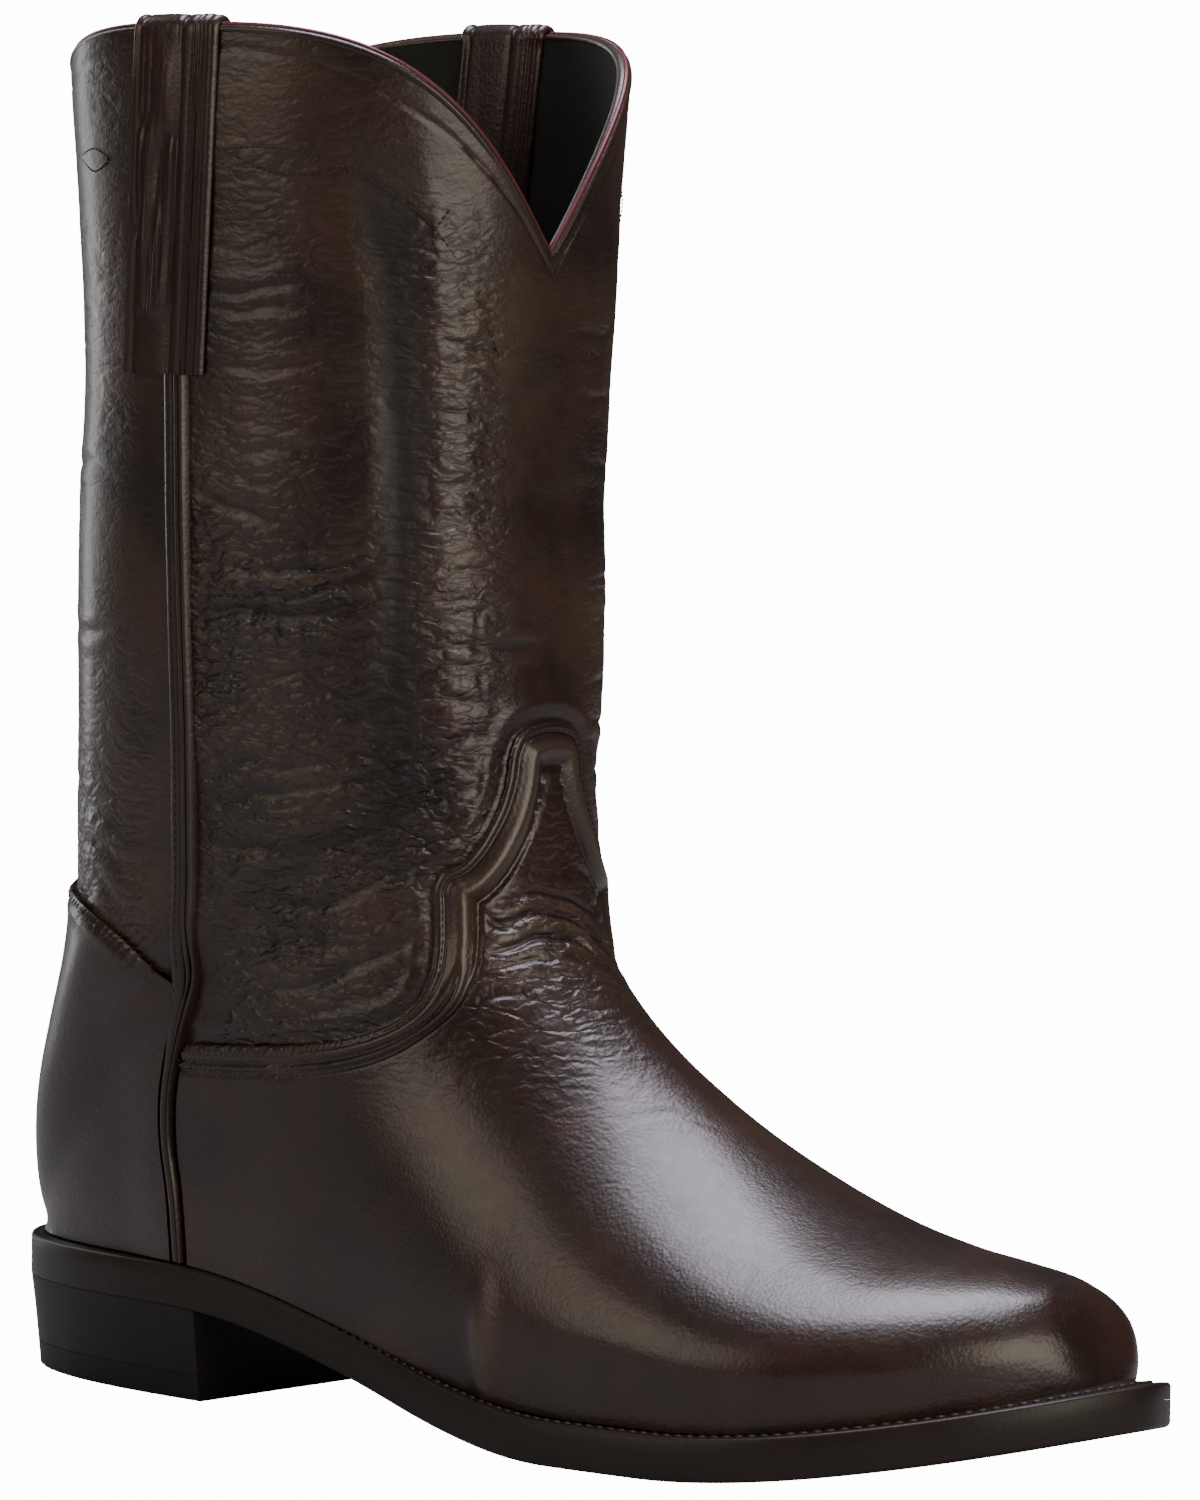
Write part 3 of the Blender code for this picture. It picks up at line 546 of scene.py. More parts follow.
def measure(points, normals, line):
    """Distance of each point from a line, above zero on its right-hand side, and how far along it is."""
    start, step = line[:-1], np.diff(line, axis=0)
    length = np.maximum(np.linalg.norm(step, axis=1), 1e-6)
    unit = step / length[:, None]
    run = np.concatenate([[0], np.cumsum(length)])
    best = np.full(len(points), 1e9)
    side = np.zeros(len(points))
    along = np.zeros(len(points))
    for a, u, size, done in zip(start, unit, length, run):
        rel = points - a
        t = np.clip(rel @ u, 0, size)
        off = rel - t[:, None] * u
        away = np.linalg.norm(off, axis=1)
        nearer = away < best
        best[nearer] = away[nearer]
        side[nearer] = (np.cross(off[nearer], u) * normals[nearer]).sum(axis=1)
        along[nearer] = done + t[nearer]
    return np.copysign(best, side), along


def seam_place(z):
    """Where the side seam lies along the sole, at a height."""
    return sole_length * smooth(column(SIDE_SEAM, 0), column(SIDE_SEAM, 1), z / instep_height)


def bell(distance, centre, half):
    """A soft ridge across a distance, 1 at its centre and 0 from half away."""
    return np.clip(1 - ((distance - centre) / half) ** 2, 0, 1) ** 2


def ramp(value, low, high):
    """A smooth step from 0 at low to 1 at high."""
    t = np.clip((value - low) / (high - low), 0, 1)
    return t * t * (3 - 2 * t)


def lattice(i, j, k, seed):
    """A fixed pseudo-random number for each cell corner."""
    h = np.sin(i * 127.1 + j * 311.7 + k * 74.7 + seed * 53.3) * 43758.5453
    return h - np.floor(h)


def noise(points, size, seed=0):
    """Smooth noise between 0 and 1 over points, with one size or a size for each axis."""
    scaled = points / np.asarray(size, float)
    cell = np.floor(scaled)
    t = scaled - cell
    t = t * t * t * (t * (t * 6 - 15) + 10)
    total = np.zeros(len(points))
    for a in (0, 1):
        for b in (0, 1):
            for c in (0, 1):
                weight = ((t[:, 0] if a else 1 - t[:, 0]) * (t[:, 1] if b else 1 - t[:, 1])
                          * (t[:, 2] if c else 1 - t[:, 2]))
                total += weight * lattice(cell[:, 0] + a, cell[:, 1] + b, cell[:, 2] + c, seed)
    return total


def creases(points, size, seed, sharp=0.06):
    """Thin winding troughs, 1 at their bottoms, where smooth noise crosses its middle."""
    value = noise(points, size, seed)
    return np.exp(-((value - 0.5) / sharp) ** 2)


VAMP_LINE = route(VAMP_EDGE, mirror=True)
COUNTER_LINE = route(COUNTER_EDGE, mirror=True)


def settle(below, points, table, near=12.0):
    """Correct the side of points far from an edge, by whether they lie under it in the side view."""
    spots = sorted((spot[0], spot[2]) for spot in table)
    edge = np.interp(points[:, 0], [x for x, z in spots], [z for x, z in spots])
    under = points[:, 2] < edge
    return np.where(np.abs(below) < near, below, np.where(under, np.abs(below), -np.abs(below)))


def vamp_inside(points, normals):
    """How far inside the vamp each point is, and how far below its upper edge."""
    below = measure(points, normals, VAMP_LINE)[0]
    below = settle(below, points, VAMP_EDGE)
    ahead = points[:, 0] - seam_place(points[:, 2]) - seam_width / 2 + seam_underlap
    return np.minimum(below, ahead), below


def counter_inside(points, normals):
    """How far inside the counter each point is, and how far below its upper edge."""
    below = settle(-measure(points, normals, COUNTER_LINE)[0], points, COUNTER_EDGE)
    behind = seam_place(points[:, 2]) - seam_width / 2 + seam_underlap - points[:, 0]
    return np.minimum(below, behind), below


def drape(x, z, side):
    """Point and outward normal of the form on its right (-1) or left (1) side, at x and z."""
    point, normal = FORM_TREE.ray_cast(Vector((x, side * 200.0, z)), Vector((0, -side, 0)))[:2]
    if point is None:
        raise RuntimeError("nothing to drape on at " + str((x, z)))
    return np.array(point), np.array(normal) * (1 if normal.y * side > 0 else -1)


def lay(line, lift):
    """Points of a line raised off the form, with the form's normals and the line's directions."""
    found = [FORM_TREE.find_nearest(Vector(p))[:2] for p in line]
    points = np.array([hit for hit, normal in found])
    normals = np.array([normal for hit, normal in found])
    middle = np.column_stack([points[:, 0] * 0 + shaft_centre, points[:, 1] * 0, points[:, 2]])
    low = points[:, 2] < instep_height
    middle[low] = np.column_stack([points[low, 0], points[low, 1] * 0.2, points[low, 2] * 0 + 30.0])
    normals *= np.sign((normals * (points - middle)).sum(axis=1))[:, None]
    ahead = np.gradient(points, axis=0)
    ahead /= np.linalg.norm(ahead, axis=1)[:, None] + 1e-9
    return points + normals * lift, normals, ahead


def select_all(item):
    """Make a mesh the only selected object and select all of it in edit mode."""
    bpy.ops.object.select_all(action="DESELECT")
    bpy.context.view_layer.objects.active = item
    item.select_set(True)
    bpy.ops.object.mode_set(mode="EDIT")
    bpy.ops.mesh.select_all(action="SELECT")


def part_points(points):
    """Points in the frame, in metres, from millimetres measured from the back of the sole."""
    points = np.asarray(points, float) + np.array((sole_back, 0, 0))
    return points * MM


def read_points(mesh):
    """A mesh's points in millimetres from the back of the sole, and its normals."""
    points = np.empty(len(mesh.vertices) * 3)
    mesh.vertices.foreach_get("co", points)
    normals = np.empty(len(mesh.vertices) * 3)
    mesh.vertices.foreach_get("normal", normals)
    return points.reshape(-1, 3) / MM - np.array((sole_back, 0, 0)), normals.reshape(-1, 3)


def write_points(mesh, points):
    """Put a mesh's points back into the frame."""
    mesh.vertices.foreach_set("co", part_points(points).ravel())
    mesh.update()


def grid_piece(name, grid, shell=True):
    """A grid primitive laid over rows of points, with its doubles merged and its faces pointing out."""
    high, wide = grid.shape[:2]
    bpy.ops.object.select_all(action="DESELECT")
    bpy.ops.mesh.primitive_grid_add(x_subdivisions=wide - 1, y_subdivisions=high - 1, size=2)
    item = bpy.context.active_object
    item.name = name
    item.data.name = name
    flat = np.empty(len(item.data.vertices) * 3)
    item.data.vertices.foreach_get("co", flat)
    flat = flat.reshape(-1, 3)
    j = np.rint((flat[:, 0] + 1) / 2 * (wide - 1)).astype(int)
    k = np.rint((flat[:, 1] + 1) / 2 * (high - 1)).astype(int)
    write_points(item.data, grid[k, j])
    select_all(item)
    bpy.ops.mesh.remove_doubles(threshold=0.00002)
    bpy.ops.mesh.dissolve_degenerate(threshold=0.00002)
    bpy.ops.mesh.delete_loose(use_verts=True, use_edges=True, use_faces=False)
    bpy.ops.mesh.select_all(action="SELECT")
    bpy.ops.mesh.normals_make_consistent(inside=False)
    bpy.ops.object.mode_set(mode="OBJECT")
    points, normals = read_points(item.data)
    if shell and (normals[:, 1] * points[:, 1]).sum() < 0:
        select_all(item)
        bpy.ops.mesh.flip_normals()
        bpy.ops.object.mode_set(mode="OBJECT")
    return item


def tube_piece(name, loops, capped=True):
    """A closed piece through loops of points, with its ends drawn together."""
    loops = np.array(loops)
    loops = np.concatenate([loops, loops[:, :1]], axis=1)
    if capped:
        first = np.broadcast_to(loops[0, :-1].mean(axis=0), loops[0].shape)
        last = np.broadcast_to(loops[-1, :-1].mean(axis=0), loops[-1].shape)
        loops = np.concatenate([first[None], loops, last[None]])
    else:
        loops = np.concatenate([loops, loops[:1]])
    return grid_piece(name, loops, shell=False)


def refine(item, wanted, cuts=2):
    """Cut the edges of a piece finer where both of their points are wanted."""
    work = bmesh.new()
    work.from_mesh(item.data)
    work.verts.ensure_lookup_table()
    chosen = [edge for edge in work.edges if all(wanted[v.index] for v in edge.verts)]
    bmesh.ops.subdivide_edges(work, edges=chosen, cuts=cuts, use_grid_fill=True)
    work.to_mesh(item.data)
    work.free()


def calm(item, wanted, times):
    """Even out the wanted points of a piece, leaving its borders in place."""
    work = bmesh.new()
    work.from_mesh(item.data)
    work.verts.ensure_lookup_table()
    chosen = [work.verts[k] for k in np.nonzero(wanted)[0] if not work.verts[k].is_boundary]
    for _ in range(times):
        bmesh.ops.smooth_vert(work, verts=chosen, factor=0.5,
                              use_axis_x=True, use_axis_y=True, use_axis_z=True)
    work.to_mesh(item.data)
    work.free()


def trim(item, inside, least=0.12):
    """Cut a piece along the border of a region and delete what lies outside it."""
    work = bmesh.new()
    work.from_mesh(item.data)
    work.verts.ensure_lookup_table()
    value = work.verts.layers.float.new("inside")
    for vert, here in zip(work.verts, inside):
        vert[value] = 0.0 if abs(here) < least else here
    for edge in list(work.edges):
        here, there = edge.verts[0][value], edge.verts[1][value]
        if here * there < 0:
            made = bmesh.utils.edge_split(edge, edge.verts[0], here / (here - there))[1]
            made[value] = 0.0
    for face in list(work.faces):
        on = [vert for vert in face.verts if vert[value] == 0.0]
        if len(on) == 2 and min(v[value] for v in face.verts) < 0 < max(v[value] for v in face.verts):
            bmesh.utils.face_split(face, on[0], on[1])
    spare = [face for face in work.faces if sum(v[value] for v in face.verts) <= 0]
    bmesh.ops.delete(work, geom=spare, context="FACES")
    work.to_mesh(item.data)
    work.free()
    item.data.attributes.remove(item.data.attributes["inside"])


def relief(item, lift, **layers):
    """Raise or sink each point of a piece along its normal and keep what the material reads."""
    points, normals = read_points(item.data)
    write_points(item.data, points + normals * lift[:, None])
    for name, values in layers.items():
        layer = item.data.attributes.new(name, "FLOAT", "POINT")
        layer.data.foreach_set("value", np.asarray(values, np.float32))


def apply_modifier(item, kind, **settings):
    """Add a modifier and apply it."""
    bpy.ops.object.select_all(action="DESELECT")
    bpy.context.view_layer.objects.active = item
    item.select_set(True)
    modifier = item.modifiers.new(kind.title(), kind)
    for key, value in settings.items():
        setattr(modifier, key, value)
    bpy.ops.object.modifier_apply(modifier=modifier.name)


def finish_piece(item, material, slot, *nodes, angle=50):
    """Give a finished piece its material, shading, body and the CAD nodes it stands for."""
    item.data.materials.clear()
    item.data.materials.append(material)
    bpy.ops.object.select_all(action="DESELECT")
    bpy.context.view_layer.objects.active = item
    item.select_set(True)
    bpy.ops.object.shade_smooth_by_angle(angle=math.radians(angle))
    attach(item, "root")
    if nodes:
        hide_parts(*nodes)
    return item


# Soft troughs and ridges of the shaft, up and down. x, y and z are on the outer side.
FRONT_TROUGH = [
    # x, y, z
    (133.0, -36.5, 122.0),
    (136.0, -34.0, 150.0),
    (137.6, -33.0, 178.0),
    (138.0, -33.6, 224.0),
    (136.5, -36.5, 262.0),
    (133.0, -40.5, 285.0),
]
FRONT_RIDGE = [
    # x, y, z
    (144.5, -22.0, 128.0),
    (145.6, -21.5, 150.0),
    (146.0, -22.0, 178.0),
    (145.8, -23.0, 224.0),
    (144.5, -27.5, 258.0),
]

# Creases placed on the outer side. The points are x, z pairs on the side of the boot.
SIDE_CREASES = [
    # depth, half width, points
    (0.95, 2.2, ((90.0, 177.0), (104.5, 177.8), (117.0, 177.4), (126.0, 179.0), (136.0, 184.0))),
    (0.75, 1.8, ((95.0, 181.5), (109.0, 180.9), (119.0, 181.3), (128.5, 185.0), (137.0, 190.0))),
    (0.45, 1.6, ((112.0, 186.5), (121.0, 187.0), (134.0, 191.5))),
    (0.50, 2.0, ((89.0, 204.0), (96.0, 202.0), (104.0, 199.5), (116.0, 198.0))),
    (0.35, 1.6, ((104.0, 210.0), (112.0, 212.8), (122.0, 212.6), (131.0, 217.0))),
    (0.40, 1.6, ((106.0, 162.0), (113.0, 164.5), (122.0, 164.9))),
    (0.35, 1.5, ((120.0, 154.5), (131.0, 157.5), (137.0, 160.0))),
    (0.45, 1.7, ((92.0, 142.0), (104.8, 144.6), (112.7, 143.0), (122.0, 145.0), (132.0, 149.5))),
    (0.45, 1.7, ((90.0, 135.0), (101.3, 136.5), (115.5, 138.9), (128.5, 141.5), (138.0, 144.5))),
    (0.70, 2.0, ((84.0, 129.0), (95.6, 126.8), (107.0, 126.2), (118.0, 127.4), (131.0, 130.0))),
    (0.45, 1.8, ((100.0, 116.0), (112.0, 113.5), (129.0, 118.7), (139.0, 124.0))),
    (0.60, 1.9, ((98.0, 95.0), (111.3, 95.8), (122.0, 99.5), (129.0, 102.5), (138.5, 108.5))),
    (0.40, 1.6, ((88.0, 106.0), (100.0, 104.5), (114.0, 107.0))),
    (0.40, 1.6, ((92.0, 247.0), (108.3, 246.8), (118.0, 248.6), (127.0, 248.0))),
    (0.35, 1.5, ((96.0, 243.5), (110.0, 243.0), (124.0, 245.5))),
    (0.30, 1.4, ((97.0, 232.0), (112.0, 230.5), (126.0, 233.0))),
    (0.45, 1.8, ((52.0, 117.0), (62.0, 108.0), (72.0, 103.5))),
    (0.40, 1.8, ((40.0, 124.0), (54.0, 122.0), (68.0, 116.0))),
    (0.35, 1.6, ((36.0, 206.0), (50.0, 208.0), (66.0, 205.0))),
    (0.35, 1.6, ((34.0, 172.0), (50.0, 170.0), (68.0, 173.0))),
]

# Creases across the front of the shaft and the bend of the instep, as x, y, z on the boot
FRONT_CREASES = [
    # depth, half width, points
    (0.45, 1.5, ((143.5, -26.0, 171.0), (149.2, -13.3, 170.8), (150.6, -1.0, 170.7))),
    (0.40, 1.5, ((142.5, -26.0, 151.2), (148.5, -15.2, 151.6))),
    (0.35, 1.4, ((143.0, -26.8, 178.5), (149.0, -14.0, 179.4))),
    (0.35, 1.4, ((142.5, -27.5, 182.0), (148.6, -15.5, 181.0))),
    (0.35, 1.4, ((143.9, -26.5, 237.0), (149.8, -8.6, 235.9))),
    (0.35, 1.4, ((143.0, -27.5, 222.0), (149.4, -12.0, 221.0))),
    (0.30, 1.4, ((143.0, -27.5, 206.0), (149.0, -14.0, 208.0))),
    (0.30, 1.4, ((143.0, -26.5, 160.0), (148.8, -14.5, 158.5))),
    (0.30, 1.4, ((142.8, -26.2, 140.5), (147.4, -18.5, 139.6))),
    (0.70, 1.5, ((150.0, -20.0, 102.6), (154.3, -11.6, 106.1), (157.0, -3.9, 106.3), (158.7, 2.9, 104.5),
                 (162.4, 7.4, 98.3), (164.0, 10.0, 94.0))),
    (0.70, 1.5, ((148.6, -19.6, 107.5), (152.5, -11.9, 111.5), (154.1, -5.1, 112.3), (155.1, 2.6, 110.8),
                 (157.3, 7.7, 105.4), (158.6, 12.0, 100.0))),
    (0.60, 1.4, ((150.4, -14.8, 114.8), (152.1, -9.3, 115.9), (153.1, -1.8, 116.1), (153.3, 4.4, 114.9),
                 (153.2, 11.5, 110.5), (152.0, 16.0, 106.0))),
    (0.50, 1.4, ((152.0, 5.1, 121.8), (151.8, 9.3, 120.7), (150.5, 14.2, 116.4), (148.6, 18.0, 111.0))),
    (0.45, 1.3, ((150.1, -24.0, 92.5), (154.3, -20.0, 94.7), (158.4, -15.1, 95.6))),
    (0.50, 1.4, ((158.7, -6.0, 103.3), (159.9, -2.6, 102.3), (161.5, 2.2, 100.8), (162.8, 6.3, 98.0))),
    (0.45, 1.3, ((148.3, -18.6, 112.7), (150.8, -15.8, 110.5), (153.6, -10.8, 109.3))),
    (0.45, 1.3, ((151.0, -21.0, 99.6), (153.4, -16.9, 101.0), (156.8, -11.0, 102.6), (159.4, -5.5, 102.4))),
    (0.12, 1.0, ((186.0, -15.0, 69.5), (193.2, -2.4, 70.7), (200.8, 4.0, 66.7))),
]


# How much higher a crease lies when it is turned over for the inner side
side_shift = 4.0
front_shift = 3.0


def side_points(pairs):
    """Points on the outer side of the boot from their places along the boot and heights."""
    return [drape(x, z, -1)[0] for x, z in pairs]


def carve(points, normals, line, depth, half):
    """Depth of a crease along a line, with a low lip on each side, and tapering at its ends."""
    low = line.min(axis=0) - 4 * half
    high = line.max(axis=0) + 4 * half
    near = np.all((points > low) & (points < high), axis=1)
    made = np.zeros(len(points))
    if near.any():
        away, along = measure(points[near], normals[near], line)
        total = np.linalg.norm(np.diff(line, axis=0), axis=1).sum()
        wobble = 0.6 + 0.8 * noise(points[near], 6.0, 3)
        taper = np.sin(np.clip(along / total, 0.02, 0.98) * math.pi) ** 0.6 * wobble
        away = np.abs(away + 1.6 * (noise(points[near], 7.0, 5) - 0.5))
        made[near] = taper * depth * (0.35 * bell(away, 1.9 * half, 1.4 * half) - bell(away, 0, half))
    return made


def hand_creases(points, normals):
    """All listed creases, on the outer side and turned over for the inner side."""
    total = np.zeros(len(points))
    for depth, half, pairs in SIDE_CREASES:
        line = route(side_points(pairs), 2.0)
        total += carve(points, normals, line, depth, half)
        inner = line * MIRROR + (0, 0, side_shift)
        total += 0.8 * carve(points, normals, inner, depth, half)
    for depth, half, spots in FRONT_CREASES:
        line = route(spots, 2.0)
        total += carve(points, normals, line, depth, half)
        if spots[-1][1] < -5:
            inner = line * MIRROR + (0, 0, front_shift)
            total += carve(points, normals, inner, depth, half)
    return total


def shaft_relief(points, normals):
    """Relief of the shaft, how wrinkled it is, and its painted highlight on ridges and painted shade in
    troughs and creases.
    """
    x, y, z = points.T
    side = np.where(y[:, None] < 0, points, points * MIRROR)
    facing = np.where(y[:, None] < 0, normals, normals * MIRROR)
    trough = np.abs(measure(side, facing, route(FRONT_TROUGH, 3.0))[0])
    ridge = np.abs(measure(side, facing, route(FRONT_RIDGE, 3.0))[0])
    # One broad trough and one ridge up the front, which wander a little
    fade = ramp(z, 108, 150) * ramp(z, 297, 250)
    wander = 6.0 * (noise(points, (40.0, 40.0, 30.0), 11) - 0.5)
    valley = fade * bell(trough + wander, 0, 10.0)
    slow = 0.5 * fade * bell(ridge + wander, 0, 10.0) - 1.0 * valley
    # Places round the shaft laid flat, so that wrinkles run the same way all round
    around = np.arctan2(y, x - shaft_centre) * shaft_radius
    flat = np.stack([around, z, y * 0.0], 1)
    sway = 7.0 * (noise(flat, (26.0, 16.0, 1.0), 21) - 0.5) + 1.8 * (noise(flat, (6.0, 6.0, 1.0), 22) - 0.5)
    warp = np.stack([y * 0.0, sway, y * 0.0], 1)
    # Where it wrinkles: a net on the front ridge, level folds on the panel and fewer behind the seam
    front = bell(ridge, 1.0, 17.0) * ramp(z, 108, 128) * ramp(z, 288, 250) * (0.35 + 0.65 * ramp(y, -6, -14))
    panel = ramp(x, 84, 92) * ramp(x, 146, 136) * (0.25 + 0.75 * ramp(z, 225, 170))
    behind = ramp(x, 84, 66) * (0.25 + 0.5 * ramp(z, 170, 120))
    patch = 0.25 + 0.75 * ramp(noise(flat, (30.0, 18.0, 1.0), 61), 0.35, 0.6)
    fine = creases(flat + warp, (15.0, 4.2, 1.0), 31, 0.055)
    finer = creases(flat + warp, (8.0, 3.2, 1.0), 41, 0.06)
    net = creases(flat + warp, (12.0, 7.0, 1.0), 43, 0.06)
    upright = creases(flat + 0.6 * warp[:, [1, 0, 2]], (6.4, 19.0, 1.0), 51, 0.09)
    netted = front * (1 - 0.8 * valley) * (0.26 * net + 0.05 * finer + 0.14 * upright)
    quick = netted + patch * (panel + behind) * (1 - 0.6 * valley) * (0.52 * fine + 0.30 * finer)
    # A slow swell all over, and upright streaks down the back
    slow += 0.9 * (noise(flat, (30.0, 22.0, 1.0), 71) - 0.5)
    streak = bell(np.abs(around) / shaft_radius, math.pi, 0.9) * ramp(z, 110, 140)
    slow += 1.2 * streak * (noise(flat, (7.0, 60.0, 1.0), 91) - 0.5)
    quick *= ramp(z, 301, 292)
    wrinkled = np.clip(0.55 * front + (0.4 + 0.6 * patch) * (0.9 * panel + 0.6 * behind), 0.06, 1)
    by_hand = hand_creases(points, normals)
    # Fold colour: painted shade in the creases, the wrinkles and the front trough, and painted highlight on
    # the ridge and on the lips of creases
    dye = by_hand - 0.8 * quick + 0.4 * netted + 0.2 * slow - 0.7 * valley
    return slow - quick + by_hand, wrinkled, dye


def leather_swell(points):
    """Slow swell of leather that has taken the shape of a foot."""
    return 0.5 * (noise(points, 34.0, 81) - 0.5)


def colour_setting(name, description, code):
    """A colour property, kept as an sRGB hex value."""
    return bpy.props.StringProperty(name=name, description=description + ", sRGB hex", default=code)


def size_setting(name, description, millimetres):
    """A size property."""
    return bpy.props.FloatProperty(name=name, description=description, default=millimetres * MM, min=0.0,
                                   precision=5, unit="LENGTH", subtype="DISTANCE")


class BootLook(bpy.types.PropertyGroup):
    """Sizes and colours of the boot's leathers, edges, cords and stitches."""

    overlay: size_setting("Vamp and counter", "Thickness of the leather of the vamp and the counter", 1.4)
    band_width: size_setting("Corded edge", "Width of the corded band along the vamp's upper edge", 8.6)
    lining_depth: size_setting("Lining depth", "From the boot's outside in to the lining", 2.6)
    lining_thickness: size_setting("Lining thickness", "Thickness of the lining leather", 0.5)
    strap_lift: size_setting("Strap lift", "From the shaft out to the underside of a pull strap", 0.6)
    bead_width: size_setting("Bead width", "Width of the burgundy bead along the collar", 1.24)
    bead_height: size_setting("Bead height", "Height of the burgundy bead along the collar", 1.1)
    welt_pitch: size_setting("Welt stitch", "Length of one stitch of the welt", 2.9)
    vamp_pitch: size_setting("Vamp stitch", "Length of one stitch of the vamp's edge", 1.7)
    seam_pitch: size_setting("Seam stitch", "Length of one stitch of the side seam", 2.0)
    shaft_pitch: size_setting("Fancy stitch", "Length of one stitch of the lines on the shaft", 1.5)
    crease_depth: bpy.props.FloatProperty(
        name="Crease depth", description="Share of the full depth of the creases", default=1.0,
        min=0.0, max=2.0, subtype="FACTOR")
    leather_dark: colour_setting("Leather, dark", "Black-cherry ground of the leather", "24150f")
    leather_warm: colour_setting("Leather, warm", "Olive brown where the dye is thin", "463526")
    leather_red: colour_setting("Leather, red", "Cherry red that shows through the dye", "3f211c")
    # Painted highlight: the colour that the tops of folds, ridges and cords are lightened towards
    leather_fold_highlight: colour_setting("Leather, worn", "Rubbed tops of folds", "5f4f3c")
    # Painted shade: the colour that creases, wrinkle lines and troughs are darkened towards
    leather_crease_shade: colour_setting("Leather, creases", "Dye and wax gathered in the creases", "080505")
    burgundy: colour_setting("Burgundy", "Bead along the collar", "5a2028")
    edge: colour_setting("Sole edge", "Waxed edge of the outsole and the welt", "231a14")
    heel: colour_setting("Heel", "Waxed side of the heel block", "171310")
    rubber: colour_setting("Top lift", "Rubber under the heel", "14110f")
    lining: colour_setting("Lining", "Dark lining leather", "15140f")
    insole: colour_setting("Insole", "Tan insole leather", "6a5138")
    thread: colour_setting("Thread", "Waxed thread", "2a2019")
    paper: colour_setting("Floor", "Pale paper that the boot stands on", "9a9a98")


def user_size(name):
    """One of the user's sizes in millimetres."""
    return round(getattr(bpy.context.scene.boot_look, name) / MM, 4)


def linear(code):
    """An sRGB hex value as linear red, green, blue and alpha."""
    made = []
    for k in (0, 2, 4):
        value = int(code[k:k + 2], 16) / 255
        made.append(value / 12.92 if value <= 0.04045 else ((value + 0.055) / 1.055) ** 2.4)
    return (*made, 1.0)


def add_node(tree, kind, settings=None, **links):
    """Add a node, set its own settings, and link or fill its inputs by name or number."""
    node = tree.nodes.new(kind)
    for key, value in (settings or {}).items():
        setattr(node, key, value)
    for key, value in links.items():
        name = key.replace("_", " ")
        target = node.inputs[int(name[1:])] if name[0] == "n" and name[1:].isdigit() else node.inputs[name]
        if isinstance(value, bpy.types.NodeSocket):
            tree.links.new(value, target)
        else:
            target.default_value = value
    return node


def new_material(name):
    """An empty material with its shader and its object coordinates in millimetres."""
    made = bpy.data.materials.new(name)
    made.use_nodes = True
    tree = made.node_tree
    shader = tree.nodes["Principled BSDF"]
    place = tree.nodes.new("ShaderNodeTexCoord").outputs["Object"]
    scale = add_node(tree, "ShaderNodeVectorMath", {"operation": "SCALE"}, n0=place)
    scale.inputs["Scale"].default_value = 1 / MM
    return made, tree, shader, scale.outputs[0]


